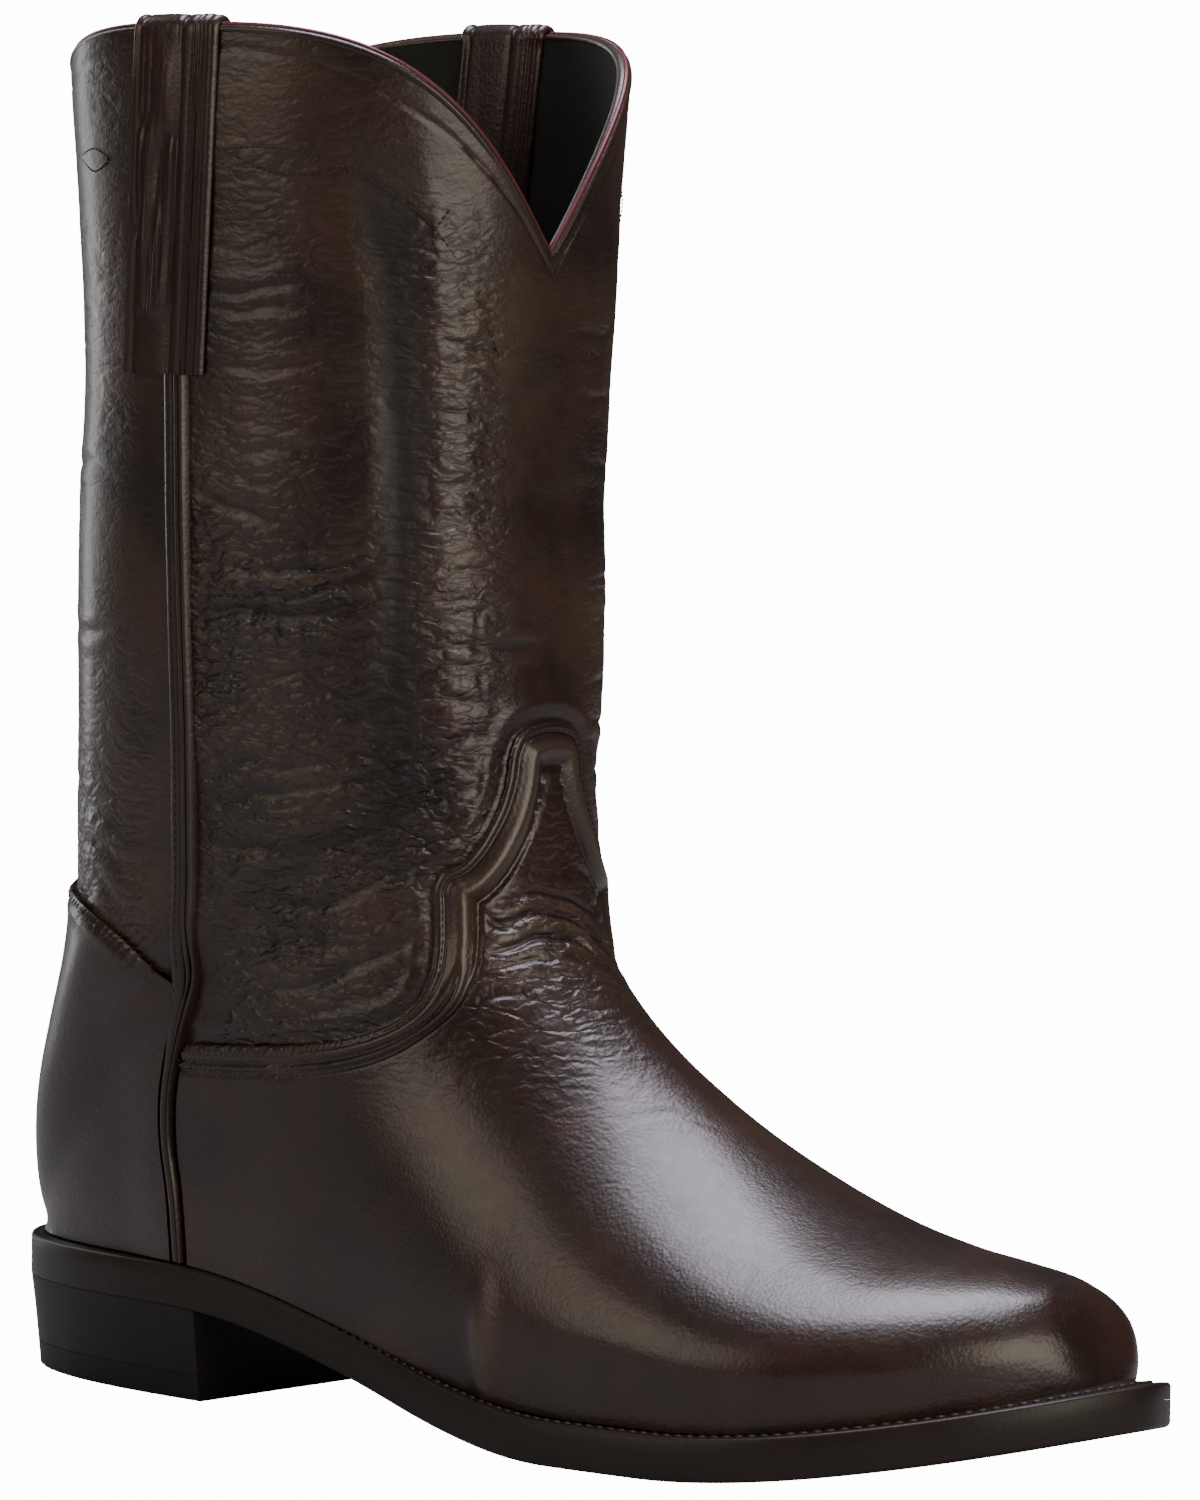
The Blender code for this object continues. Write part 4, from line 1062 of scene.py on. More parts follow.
def leather_material(name, gloss, warmth, crackle):
    """Chrome-tanned calf, plated and waxed: a deep dye and a soft wax gloss, with painted highlight on the
    tops of its folds and painted shade in its creases and wrinkle lines.

    The clouds are as wide as uneven dye on a hide, 20 to 35 mm. Wrinkles are 8.5 x 2.9 and 4.4 x 1.9 mm,
    as the creases of a well-used shaft are. Calf pores are about 0.2 mm apart, too fine to show, so they are
    drawn
    0.9 mm apart.
    """
    look = bpy.context.scene.boot_look
    made, tree, shader, place = new_material(name)
    cloud = add_node(tree, "ShaderNodeTexNoise", {}, Vector=place, Scale=1 / 34, Detail=3.0)
    patch = add_node(tree, "ShaderNodeTexNoise", {}, Vector=place, Scale=1 / 21, Detail=2.0)
    speck = add_node(tree, "ShaderNodeTexNoise", {}, Vector=place, Scale=1 / 3, Detail=4.0)
    fold = add_node(tree, "ShaderNodeAttribute", {"attribute_name": "fold"}).outputs["Fac"]
    rough_area = add_node(tree, "ShaderNodeAttribute", {"attribute_name": "wrinkled"}).outputs["Fac"]
    warm = add_node(tree, "ShaderNodeMapRange", {}, Value=cloud.outputs["Fac"], From_Min=0.38, From_Max=0.66,
                    To_Max=warmth)
    olive = add_node(tree, "ShaderNodeMix", {"data_type": "RGBA"}, n0=warm.outputs[0],
                     n6=linear(look.leather_dark), n7=linear(look.leather_warm))
    blush = add_node(tree, "ShaderNodeMapRange", {}, Value=patch.outputs["Fac"], From_Min=0.50, From_Max=0.72,
                     To_Max=0.55)
    ground = add_node(tree, "ShaderNodeMix", {"data_type": "RGBA"}, n0=blush.outputs[0], n6=olive.outputs[2],
                      n7=linear(look.leather_red))
    # Painted highlight: the tops of folds, ridges and cords lighten towards the fold highlight colour
    high = add_node(tree, "ShaderNodeMapRange", {}, Value=fold, From_Min=0.05, From_Max=0.9, To_Max=0.7)
    fold_top_highlight = add_node(tree, "ShaderNodeMix", {"data_type": "RGBA"}, n0=high.outputs[0], n6=ground.outputs[2],
                    n7=linear(look.leather_fold_highlight))
    # Painted shade: creases and troughs darken towards the crease shade colour, and are also rougher
    hollow = add_node(tree, "ShaderNodeMapRange", {}, Value=fold, From_Min=-0.1, From_Max=-0.9, To_Max=0.9)
    dark = add_node(tree, "ShaderNodeMix", {"data_type": "RGBA"}, n0=hollow.outputs[0], n6=fold_top_highlight.outputs[2],
                    n7=linear(look.leather_crease_shade))
    waxed = add_node(tree, "ShaderNodeMapRange", {}, Value=speck.outputs["Fac"], To_Min=gloss - 0.06,
                     To_Max=gloss + 0.10)
    rough = add_node(tree, "ShaderNodeMath", {"operation": "MULTIPLY_ADD"}, n0=hollow.outputs[0], n1=0.32,
                     n2=waxed.outputs[0])
    tree.links.new(rough.outputs[0], shader.inputs["Roughness"])
    drift = add_node(tree, "ShaderNodeTexNoise", {}, Vector=place, Scale=1 / 5, Detail=2.0)
    push = add_node(tree, "ShaderNodeVectorMath", {"operation": "MULTIPLY_ADD"}, n0=drift.outputs["Color"],
                    n1=(3.2, 3.2, 3.2), n2=place)
    amount = add_node(tree, "ShaderNodeMath", {"operation": "MULTIPLY"}, n0=rough_area, n1=crackle)
    wrinkles, tone = None, dark
    # Long shallow folds first, then shorter ones between them, each with painted shade along its lines
    for long, tall, deep, line_shade in ((8.5, 2.9, 0.60, 0.95), (4.4, 1.9, 0.25, 0.6)):
        cells_at = add_node(tree, "ShaderNodeVectorMath", {"operation": "MULTIPLY"}, n0=push.outputs[0],
                            n1=(1 / long, 1 / long, 1 / tall))
        cells = add_node(tree, "ShaderNodeTexVoronoi", {"feature": "DISTANCE_TO_EDGE"},
                         Vector=cells_at.outputs[0], Scale=1.0)
        plump = add_node(tree, "ShaderNodeMapRange", {"interpolation_type": "SMOOTHSTEP"},
                         Value=cells.outputs["Distance"], From_Max=0.30)
        folds = add_node(tree, "ShaderNodeMath", {"operation": "MULTIPLY"}, n0=plump.outputs[0],
                         n1=amount.outputs[0])
        bump = add_node(tree, "ShaderNodeBump", {}, Height=folds.outputs[0], Strength=0.95,
                        Distance=deep * MM)
        if wrinkles:
            tree.links.new(wrinkles.outputs[0], bump.inputs["Normal"])
        wrinkles = bump
        line = add_node(tree, "ShaderNodeMapRange", {"interpolation_type": "SMOOTHSTEP"},
                        Value=cells.outputs["Distance"], From_Max=0.11, To_Min=line_shade, To_Max=0.0)
        share = add_node(tree, "ShaderNodeMath", {"operation": "MULTIPLY"}, n0=line.outputs[0],
                         n1=amount.outputs[0])
        tone = add_node(tree, "ShaderNodeMix", {"data_type": "RGBA"}, n0=share.outputs[0],
                        n6=tone.outputs[2], n7=linear(look.leather_crease_shade))
    tree.links.new(tone.outputs[2], shader.inputs["Base Color"])
    pores = add_node(tree, "ShaderNodeTexVoronoi", {"feature": "F1"}, Vector=place, Scale=1 / 0.9)
    fine = add_node(tree, "ShaderNodeTexNoise", {}, Vector=place, Scale=1 / 1.5, Detail=3.0)
    both = add_node(tree, "ShaderNodeMath", {"operation": "ADD"}, n0=pores.outputs["Distance"],
                    n1=fine.outputs["Fac"])
    grain = add_node(tree, "ShaderNodeBump", {}, Height=both.outputs[0], Strength=0.25, Distance=0.2 * MM,
                     Normal=wrinkles.outputs[0])
    tree.links.new(grain.outputs[0], shader.inputs["Normal"])
    shader.inputs["IOR"].default_value = 1.5
    shader.inputs["Coat Weight"].default_value = 0.25
    shader.inputs["Coat Roughness"].default_value = 0.2
    return made


def plain_material(name, code, roughness, scale, strength, coat):
    """A finish of one ground colour, clouded, with its own fine texture."""
    made, tree, shader, place = new_material(name)
    cloud = add_node(tree, "ShaderNodeTexNoise", {}, Vector=place, Scale=1 / 12, Detail=4.0)
    ground = linear(code)
    shade = add_node(tree, "ShaderNodeMix", {"data_type": "RGBA"}, n0=cloud.outputs["Fac"],
                     n6=tuple(c * 0.6 for c in ground[:3]) + (1,),
                     n7=tuple(c * 1.4 for c in ground[:3]) + (1,))
    tree.links.new(shade.outputs[2], shader.inputs["Base Color"])
    fine = add_node(tree, "ShaderNodeTexNoise", {}, Vector=place, Scale=1 / scale, Detail=5.0)
    bump = add_node(tree, "ShaderNodeBump", {}, Height=fine.outputs["Fac"], Strength=strength,
                    Distance=0.2 * MM)
    tree.links.new(bump.outputs[0], shader.inputs["Normal"])
    shader.inputs["Roughness"].default_value = roughness
    shader.inputs["Specular IOR Level"].default_value = 0.35
    shader.inputs["Coat Weight"].default_value = coat
    return made


LEATHERS = {
    # name: gloss, warmth, crackle
    # Soft plated calf of the shaft: warm patches where the dye is thin, and a satin gloss that fine wrinkles
    # break up
    "shaft_calf": (0.36, 0.85, 1.0),
    # Lasted and polished calf of the foot: an even cherry black with one long soft highlight
    "vamp_calf": (0.33, 0.30, 0.5),
}

FINISHES = {
    # name: colour, roughness, millimetres between the marks of its texture, strength, coat
    # Folded kid binding: a thin burgundy line with a small highlight
    "binding_kid": ("burgundy", 0.4, 0.8, 0.2, 0.2),
    # Brushed pigskin lining: a dull olive black that lets the shaft's inside fall back
    "lining_leather": ("lining", 0.7, 0.9, 0.2, 0.0),
    # Vegetable-tanned insole leather: matte tan, seen from above alone
    "insole_leather": ("insole", 0.65, 0.9, 0.2, 0.0),
    # Trimmed and waxed leather edge: dark brown with a low sheen and a cut grain
    "waxed_edge": ("edge", 0.42, 1.2, 0.3, 0.0),
    # Stacked and inked heel leather: nearly black, a little duller than the edge
    "heel_leather": ("heel", 0.5, 1.2, 0.3, 0.0),
    # Moulded rubber of the top lift: black and matte
    "cap_rubber": ("rubber", 0.55, 0.7, 0.3, 0.0),
    # Waxed linen thread: dark brown twist, drawn with a coarser twist than the real 0.2 mm
    "waxed_thread": ("thread", 0.5, 0.4, 0.2, 0.0),
}


def boot_material(name):
    """One of the boot's materials, made when it is first asked for."""
    found = bpy.data.materials.get(name)
    if found:
        return found
    if name in LEATHERS:
        return leather_material(name, *LEATHERS[name])
    part, *rest = FINISHES[name]
    return plain_material(name, getattr(bpy.context.scene.boot_look, part), *rest)


def where(item, inside):
    """What a measure of the boot says of each point of a piece."""
    return inside(*read_points(item.data))


class BOOT_OT_shaft(bpy.types.Operator):
    """Make the shaft of creased calf"""

    bl_idname = "boot.shaft"
    bl_label = "Shaft"

    def execute(self, context):
        item = grid_piece("shaft_calf", fine_rows(CONTROL_ROWS, 11, ROW_COUNT - 1, shaft_mesh))
        trim(item, underlap - np.maximum(where(item, vamp_inside)[0], where(item, counter_inside)[0]))
        points, normals = read_points(item.data)
        vamp, vamp_below = vamp_inside(points, normals)
        counter, counter_below = counter_inside(points, normals)
        depth = context.scene.boot_look.crease_depth
        lift, wrinkled, fold = shaft_relief(points, normals)
        hidden = np.maximum(vamp, counter)
        shown = ramp(hidden, 3.0, -1.0) * depth
        lift *= shown
        fold *= shown
        # The leather dips and swells beside the edges that are sewn down on it
        ahead = points[:, 0] > seam_place(points[:, 2])
        lift -= 0.45 * bell(-vamp_below, 0.8, 1.5) * ahead
        lift += 0.45 * bell(-vamp_below, 4.4, 2.4) * ahead
        lift -= 0.35 * bell(-counter_below, 0.8, 1.5) * ~ahead
        lift -= 0.8 * ramp(hidden, 0.5, 2.5)
        share = np.abs(np.arctan2(points[:, 1], points[:, 0] - shaft_centre)) / (math.pi / 2)
        below = collar_height(share) - points[:, 2]
        lift -= 0.35 * bell(below, 3.6, 0.9)
        relief(item, lift, fold=fold, wrinkled=wrinkled)
        apply_modifier(item, "SOLIDIFY", thickness=shaft_rim * MM, offset=-1, use_rim_only=True)
        finish_piece(item, boot_material("shaft_calf"), "upper_leather", "upper")
        return {"FINISHED"}


class BOOT_OT_lining(bpy.types.Operator):
    """Make the dark lining inside the shaft and foot"""

    bl_idname = "boot.lining"
    bl_label = "Lining"

    def execute(self, context):
        item = grid_piece("lining", fine_rows(CONTROL_ROWS, 0, ROW_COUNT - 1, lining_mesh)[:, ::4])
        points = read_points(item.data)[0]
        swell = 0.5 * (noise(points, (30.0, 30.0, 12.0), 15) - 0.5)
        relief(item, swell - user_size("lining_depth"))
        apply_modifier(item, "SOLIDIFY", thickness=user_size("lining_thickness") * MM, offset=-1)
        finish_piece(item, boot_material("lining_leather"), "insole_leather")
        return {"FINISHED"}


class BOOT_OT_vamp(bpy.types.Operator):
    """Make the vamp with its tongue and corded edge"""

    bl_idname = "boot.vamp"
    bl_label = "Vamp"

    def execute(self, context):
        overlay = user_size("overlay")
        item = grid_piece("vamp_calf", fine_rows(CONTROL_ROWS, 0, FOOT_COUNT + 2, vamp_mesh))
        trim(item, where(item, vamp_inside)[0])
        refine(item, where(item, vamp_inside)[1] < 9.5)
        points = read_points(item.data)[0]
        refine(item, np.linalg.norm(points - (154, -4, 108), axis=1) < 22.0, 1)
        points, normals = read_points(item.data)
        below = vamp_inside(points, normals)[1]
        share = below / band_across(points)
        folds = hand_creases(points, normals) + leather_swell(points) + vamp_folds(points)
        folds *= ramp(share, 0.8, 1.2)
        edge = sum(high * bell(share, place, half) for place, half, high in VAMP_BAND)
        upright = ramp(points[:, 2], 92, 104)
        roll = 1.35 * bell(share, 0.66, 0.36) - 0.75 * bell(share, 1.08, 0.13) - 0.5 * bell(share, 0.25, 0.09)
        edge = edge * (1 - upright) + roll * upright
        lift = overlay + edge + folds * context.scene.boot_look.crease_depth
        lift -= 0.5 * ramp(below, 0.8, 0.0)
        wrinkled = 0.06 + 0.7 * bell(np.linalg.norm(points - (150, -5, 105), axis=1), 0.0, 55.0)
        wrinkled *= ramp(share, 0.9, 1.4)
        # The fold value paints highlight on the cords of the edge and the lips of creases, and shade in the
        # grooves and creases
        relief(item, lift, fold=0.6 * folds + 0.3 * edge, wrinkled=wrinkled)
        calm(item, below < 9.0, 2)
        round_toe(item)
        apply_modifier(item, "SOLIDIFY", thickness=overlay * MM, offset=-1, use_rim_only=True)
        finish_piece(item, boot_material("vamp_calf"), "vamp_leather", "vamp")
        return {"FINISHED"}


def band_across(points):
    """Width of the vamp's corded edge, narrower along the side than up the tongue."""
    return user_size("band_width") * (0.72 + 0.28 * ramp(points[:, 2], 84, 96))


def vamp_folds(points):
    """Fine flutes where the foot meets the welt, and the slight buckle at the ball."""
    x, y, z = points.T
    low = bell(z - seat(x), 6.0, 16.0)
    flute = noise(points, (5.0, 60.0, 40.0), 101) - 0.5
    across = np.hypot((x - 171 + 0.12 * (z - 20)) / 8, (z - 24) / 18)
    bulge = (0.9 + 1.3 * flute) * bell(across, 0, 1) * (y < 0)
    return 0.30 * flute * low * ramp(x, 150, 165) * ramp(x, 215, 190) + bulge


def round_toe(item):
    """Even out the gathered points at the toe's tip and tuck the tip in."""
    points = read_points(item.data)[0]
    tip = CONTROL_ROWS[1][LOW_COLUMNS + HIGH_COLUMNS]
    calm(item, np.linalg.norm(points - tip, axis=1) < 11.0, 60)
    points = read_points(item.data)[0]
    high = ramp(points[:, 2] - seat(points[:, 0]), 4.0, 22.0)
    points[:, 2] -= 2.2 * ramp(points[:, 0], 205, 255) * high
    points[:, 0] -= 2.6 * ramp(points[:, 0], 262, 296)
    write_points(item.data, points)


class BOOT_OT_counter(bpy.types.Operator):
    """Make the counter round the heel"""

    bl_idname = "boot.counter"
    bl_label = "Counter"

    def execute(self, context):
        overlay = user_size("overlay")
        item = grid_piece("counter_calf", fine_rows(CONTROL_ROWS, 13, FOOT_COUNT + 5, counter_mesh))
        trim(item, where(item, counter_inside)[0])
        refine(item, where(item, counter_inside)[1] < 5.5)
        calm(item, np.full(len(item.data.vertices), True), 60)
        points, normals = read_points(item.data)
        below = counter_inside(points, normals)[1]
        folds = leather_swell(points)
        edge = 0.30 * bell(below, 1.0, 1.0) - 0.35 * bell(below, 2.4, 0.9) + 0.3 * bell(below, 3.8, 1.2)
        lift = overlay + edge + folds - 0.5 * ramp(below, 0.8, 0.0)
        lift -= 1.3 * ramp(points[:, 2], 105, 75) * ramp(points[:, 0], 70, 50)
        # The fold value paints highlight on the ridges of the edge and shade in its groove
        relief(item, lift, fold=0.5 * folds + 0.4 * edge, wrinkled=np.full(len(points), 0.05))
        calm(item, below < 5.5, 2)
        apply_modifier(item, "SOLIDIFY", thickness=overlay * MM, offset=-1, use_rim_only=True)
        finish_piece(item, boot_material("vamp_calf"), "vamp_leather", "counter")
        return {"FINISHED"}


def soften(values, times=3):
    """Even out values along a path, keeping its ends."""
    for _ in range(times):
        values[1:-1] = (values[:-2] + 2 * values[1:-1] + values[2:]) / 4
    return values


class BOOT_OT_side_seams(bpy.types.Operator):
    """Make the two side seams, each a stitched band beside two thin cords"""

    bl_idname = "boot.side_seams"
    bl_label = "Side seams"

    def execute(self, context):
        low = float(seat(seam_place(0.0))) + 0.6
        heights = np.arange(low, shaft_height - strap_outer_length + 4, seam_step)
        for name, side in (("right", -1), ("left", 1)):
            tops, bases = [], []
            for z in heights:
                narrow = 0.45 + 0.55 * float(ramp(z, 72, 96))
                rise = 1.35 * float(ramp(z, 98, 84))
                for across, high in PIPING:
                    point, normal = drape(float(seam_place(z)) + across * narrow, z, side)
                    tops.append(point + normal * (rise + high * (0.4 + 0.6 * narrow)))
                    bases.append(point - normal * 0.9)
            tops = soften(np.array(tops).reshape(-1, len(PIPING), 3))
            bases = soften(np.array(bases).reshape(-1, len(PIPING), 3))
            item = tube_piece("side_seam_" + name, np.concatenate([tops, bases[:, ::-1]], axis=1))
            finish_piece(item, boot_material("vamp_calf"), "upper_leather", "side_piping_" + name, angle=70)
        return {"FINISHED"}


# Places between the stations of a pull strap: outside, over the fold and inside
STRAP_STEPS = {"out": 1.25, "fold": 0.7, "in": 2.0}
strap_places = 74
fold_stations = 15


def strap_centre(z):
    """Middle of a pull strap along the sole, leaning forward towards its top."""
    drop = (shaft_height - z) / strap_outer_length
    return float(seam_place(shaft_height)) + strap_lean / 2 - strap_lean * min(drop, 1.0)


class BOOT_OT_pull_straps(bpy.types.Operator):
    """Make the two pull straps, folded over the collar"""

    bl_idname = "boot.pull_straps"
    bl_label = "Pull straps"

    def execute(self, context):
        top = shaft_height - 0.5
        knots, highs = column(STRAP, 0), column(STRAP, 1)
        across = np.linspace(0, strap_width, strap_places)
        high = smooth(knots, highs, across)
        middle = ramp(across, 1.8, 3.0) * ramp(across, 15.6, 14.6)
        strap_lift = user_size("strap_lift")
        depth = user_size("lining_depth") + user_size("lining_thickness") + 0.4
        reach = (strap_lift + depth) / 2
        crown = shaft_height + 0.1
        bottom, inner_end = shaft_height - strap_outer_length, shaft_height - strap_inner_length
        stations = [("out", z) for z in np.arange(bottom, top, STRAP_STEPS["out"])]
        stations += [("fold", turn) for turn in np.linspace(0, math.pi, fold_stations)]
        stations += [("in", z) for z in np.arange(top, inner_end, -STRAP_STEPS["in"])]
        for name, side in (("right", -1), ("left", 1)):
            faces, backs = [], []
            run = 0.0
            for kind, at in stations:
                run += STRAP_STEPS[kind]
                here = np.column_stack([across, np.full_like(across, run), across * 0])
                wrinkle = 0.75 * (noise(here, (1.7, 16.0, 1.0), 7) - 0.5)
                wrinkle -= 0.45 * creases(here, (2.6, 22.0, 1.0), 9, 0.10)
                shown = ramp(run, strap_patch - 1.5, strap_patch + 1.5)
                shown *= ramp(run, strap_outer_length + 12, strap_outer_length - 8)
                patch = 0.3 * (1 - ramp(run, strap_patch - 0.8, strap_patch))
                thick = high + middle * (shown * wrinkle - patch)
                turned = ramp(run, strap_outer_length - 14, strap_outer_length + 2)
                thick = np.maximum(thick, 0.1) * ramp(run, -0.8, 1.4)
                thick = thick + 0.75 * turned * (np.minimum(thick, 1.3) - thick)
                z = top if kind == "fold" else min(at, top)
                for place, rise in zip(across, thick):
                    point, normal = drape(strap_centre(z) + place - strap_width / 2, z, side)
                    if kind == "out":
                        base, way = point + normal * strap_lift, normal
                    elif kind == "in":
                        base, way = point - normal * depth, -normal
                    else:
                        way = np.array((0.0, side * math.cos(at), math.sin(at)))
                        hub = point + np.array((0.0, side * (strap_lift - depth) / 2, 0.0))
                        hub[2] = crown
                        base = hub + way * reach
                    faces.append(base + way * rise)
                    backs.append(base - way * 0.2)
            faces = np.array(faces).reshape(-1, len(across), 3)
            backs = soften(np.array(backs).reshape(-1, len(across), 3))[:, ::-6]
            item = tube_piece("pull_strap_piece_" + name, np.concatenate([faces, backs], axis=1))
            finish_piece(item, boot_material("vamp_calf"), "upper_leather", "pull_strap_" + name, angle=70)
        return {"FINISHED"}


def collar_frame():
    """Middle of the wall along the collar, with the outward and upward directions there."""
    edge = CONTROL_ROWS[-1][:-1]
    down = CONTROL_ROWS[-2][:-1] - edge
    ahead = np.roll(edge, -1, 0) - np.roll(edge, 1, 0)
    out = np.cross(down, ahead)
    out /= np.linalg.norm(out, axis=1)[:, None]
    out *= np.sign((out * (edge - edge.mean(axis=0))).sum(axis=1))[:, None]
    rise = np.cross(ahead, out)
    rise /= np.linalg.norm(rise, axis=1)[:, None]
    rise *= np.sign(rise[:, 2])[:, None]
    return edge, out, rise


class BOOT_OT_collar(bpy.types.Operator):
    """Make the rolled leather edge of the collar and its burgundy bead"""

    bl_idname = "boot.collar"
    bl_label = "Collar"

    def execute(self, context):
        edge, out, rise = collar_frame()
        turn = np.linspace(0, 2 * math.pi, 17)[:-1]
        depth = user_size("lining_depth") + user_size("lining_thickness")
        roll = (depth / 2 - 0.1, 0.2, depth / 2 + 0.2, 1.1)
        bead = (depth / 2 - 0.5, 1.25, user_size("bead_width") / 2, user_size("bead_height") / 2)
        for name, sizes, material, slot, nodes in (
                ("collar_roll", roll, "vamp_calf", "upper_leather", []),
                ("collar_bead_cord", bead, "binding_kid", "binding", ["collar_bead"])):
            inward, up, half_wide, half_high = sizes
            loops = []
            for point, way, top in zip(edge, out, rise):
                centre = point - way * inward + top * up
                loops.append([centre + way * math.cos(t) * half_wide + top * math.sin(t) * half_high
                              for t in turn])
            item = tube_piece(name, loops, capped=False)
            finish_piece(item, boot_material(material), slot, *nodes, angle=70)
        return {"FINISHED"}


def ladder(outline, distance, back, front, count):
    """Points of the inset outline between back and front, as pairs at equal places along the sole."""
    loop = inset(outline, distance)
    pair = sides(loop)
    turn_start = 0 if back is None else 0.5
    turn_end = 1 if front is None else 0.5
    low = loop[:, 0].min() if back is None else back
    high = loop[:, 0].max() if front is None else front
    turn = np.linspace(turn_start, turn_end, count) * math.pi
    share = math.cos(turn_start * math.pi) - np.cos(turn)
    x = low + (high - low) * share / share[-1]
    right, left = side_y(pair, x)
    if back is None:
        right[0] = left[0] = (right[0] + left[0]) / 2
    if front is None:
        right[-1] = left[-1] = (right[-1] + left[-1]) / 2
    return x, right, left


def plate_piece(name, layers, back, front, count, material, slot, node):
    """A plate of the sole, from its middle line out through its layers and back."""
    outline = plan_outline()
    rows = []
    for distance, height in layers:
        x, right, left = ladder(outline, distance(outline[:, 0]), back, front, count)
        z = height(x)
        rows.append(np.concatenate([np.column_stack([x, right, z]),
                                    np.column_stack([x[::-1], left[::-1], z[::-1]])]))
    middles = [rows[0].copy(), rows[-1].copy()]
    for row in middles:
        row[:, 1] = (row[:, 1] + row[::-1, 1]) / 2
    rows = np.array([middles[0], *rows, middles[1]])
    item = grid_piece(name, np.concatenate([rows, rows[:, :1]], axis=1), shell=False)
    finish_piece(item, boot_material(material), slot, node, angle=38)


def steady(value):
    """A function that gives the same value along the whole sole."""
    return lambda x: np.full_like(np.asarray(x, float), value)


def above(line, rise):
    """A function that gives a line of the sole, raised."""
    return lambda x: line(x) + rise


def before_breast(share):
    """A function that gives a share of a millimetre in front of the heel's breast and nothing behind it."""
    return lambda x: share * ramp(x, heel_length - 4, heel_length + 4)


class BOOT_OT_sole(bpy.types.Operator):
    """Make the outsole, the heel block, its top lift and the insole"""

    bl_idname = "boot.sole"
    bl_label = "Sole and heel"

    def execute(self, context):
        # Each layer of a plate: how far in from the sole's edge, and how high
        plate_piece("outsole_edge", [
            (above(before_breast(0.8), 0.3), tread),
            (before_breast(0.35), above(tread, 0.3)),
            (steady(0.0), above(tread, 1.0)),
            (steady(0.0), above(tread, outsole_thickness)),
            (steady(1.5), above(tread, outsole_thickness)),
        ], None, None, 150, "waxed_edge", "sole_edge", "outsole")
        foot = heel_foot_inset
        joint = foot + (0.45 - foot) * heel_cap_thickness / heel_height
        plate_piece("heel_top_lift", [
            (steady(foot + 0.6), steady(0.0)),
            (steady(foot), steady(0.5)),
            (steady(joint), steady(heel_cap_thickness)),
            (steady(joint + 0.3), steady(heel_cap_thickness)),
        ], None, heel_length, 60, "cap_rubber", "heel_rubber", "heel_cap")
        plate_piece("heel_block", [
            (steady(joint + 0.3), steady(heel_cap_thickness)),
            (steady(joint), steady(heel_cap_thickness + 0.1)),
            (steady(0.85), lambda x: (heel_cap_thickness + tread(x)) / 2 + 1),
            (steady(0.04), above(tread, 0.1)),
            (steady(0.4), above(tread, 0.2)),
        ], None, heel_length, 60, "heel_leather", "sole_edge", "heel_stack")
        inner = wall + 1.0
        plate_piece("insole_board", [
            (above(upper_margin, inner + 4), above(tread, outsole_thickness)),
            (above(upper_margin, inner), above(seat, 0.3)),
            (above(upper_margin, inner), above(seat, insole_thickness - 0.5)),
            (above(upper_margin, inner + 0.6), above(seat, insole_thickness)),
        ], None, None, 90, "insole_leather", "insole_leather", "insole")
        return {"FINISHED"}


# The welt across, from its lower outer corner. inset: inwards from the sole's edge, and share: of the ledge
# added to it. high: above the outsole.
WELT = [
    # inset, share, high
    (0.00, 0.0, 0.0),
    (0.00, 0.0, 2.9),
    (0.20, 0.0, 3.35),
    (0.60, 0.0, 3.6),
    (0.30, 0.25, 3.62),
    (0.00, 0.45, 3.45),
    (0.00, 0.55, 3.30),
    (0.00, 0.65, 3.45),
    (0.00, 0.85, 3.65),
    (3.00, 1.0, 3.6),
    (3.00, 1.0, 0.0),
]


def welt_path(ahead, count):
    """Outline of the sole in front of the heel's breast or behind it, with its inward direction."""
    outline = plan_outline()
    loop = np.roll(outline, -int(np.argmin(outline[:, 0])), 0)
    right = int(np.argmax(loop[:, 0] > heel_length))
    left = len(loop) - int(np.argmax(loop[::-1, 0] > heel_length)) - 1
    picks = np.linspace(right, left, count) if ahead else np.linspace(left, right + len(loop), count)
    steps = np.arange(2 * len(loop))
    inner = inset(loop, 1.0)
    twice, twice_inner = np.concatenate([loop, loop]), np.concatenate([inner, inner])
    line = np.stack([np.interp(picks, steps, twice[:, k]) for k in range(2)], 1)
    inward = np.stack([np.interp(picks, steps, twice_inner[:, k]) for k in range(2)], 1) - line
    return line, inward


class BOOT_OT_welt(bpy.types.Operator):
    """Make the welt and the heel seat, with the welt's row of stitches"""

    bl_idname = "boot.welt"
    bl_label = "Welt"

    def execute(self, context):
        for name, ahead, count, node in (("welt_strip", True, 420, "welt"),
                                         ("heel_seat_strip", False, 160, "heel_seat")):
            line, inward = welt_path(ahead, count)
            ledge = upper_margin(line[:, 0])
            loops = []
            for push, share, high in WELT:
                spot = line + inward * (push + share * ledge)[:, None]
                level = tread(line[:, 0]) + outsole_thickness + 0.01 + high
                loops.append(np.column_stack([spot, level]))
            item = tube_piece(name, np.array(loops).transpose(1, 0, 2))
            finish_piece(item, boot_material("waxed_edge"), "sole_edge", node, angle=38)
        line, inward = welt_path(True, 2000)
        spot = line + inward * (0.62 * upper_margin(line[:, 0]))[:, None]
        level = tread(line[:, 0]) + outsole_thickness + 3.45
        row = np.column_stack([spot, level])
        up = np.broadcast_to((0.0, 0.0, 1.0), row.shape)
        stitch_piece("welt_stitches", [(row, up)], user_size("welt_pitch"), 0.55, 0.5, "sole_edge")
        return {"FINISHED"}


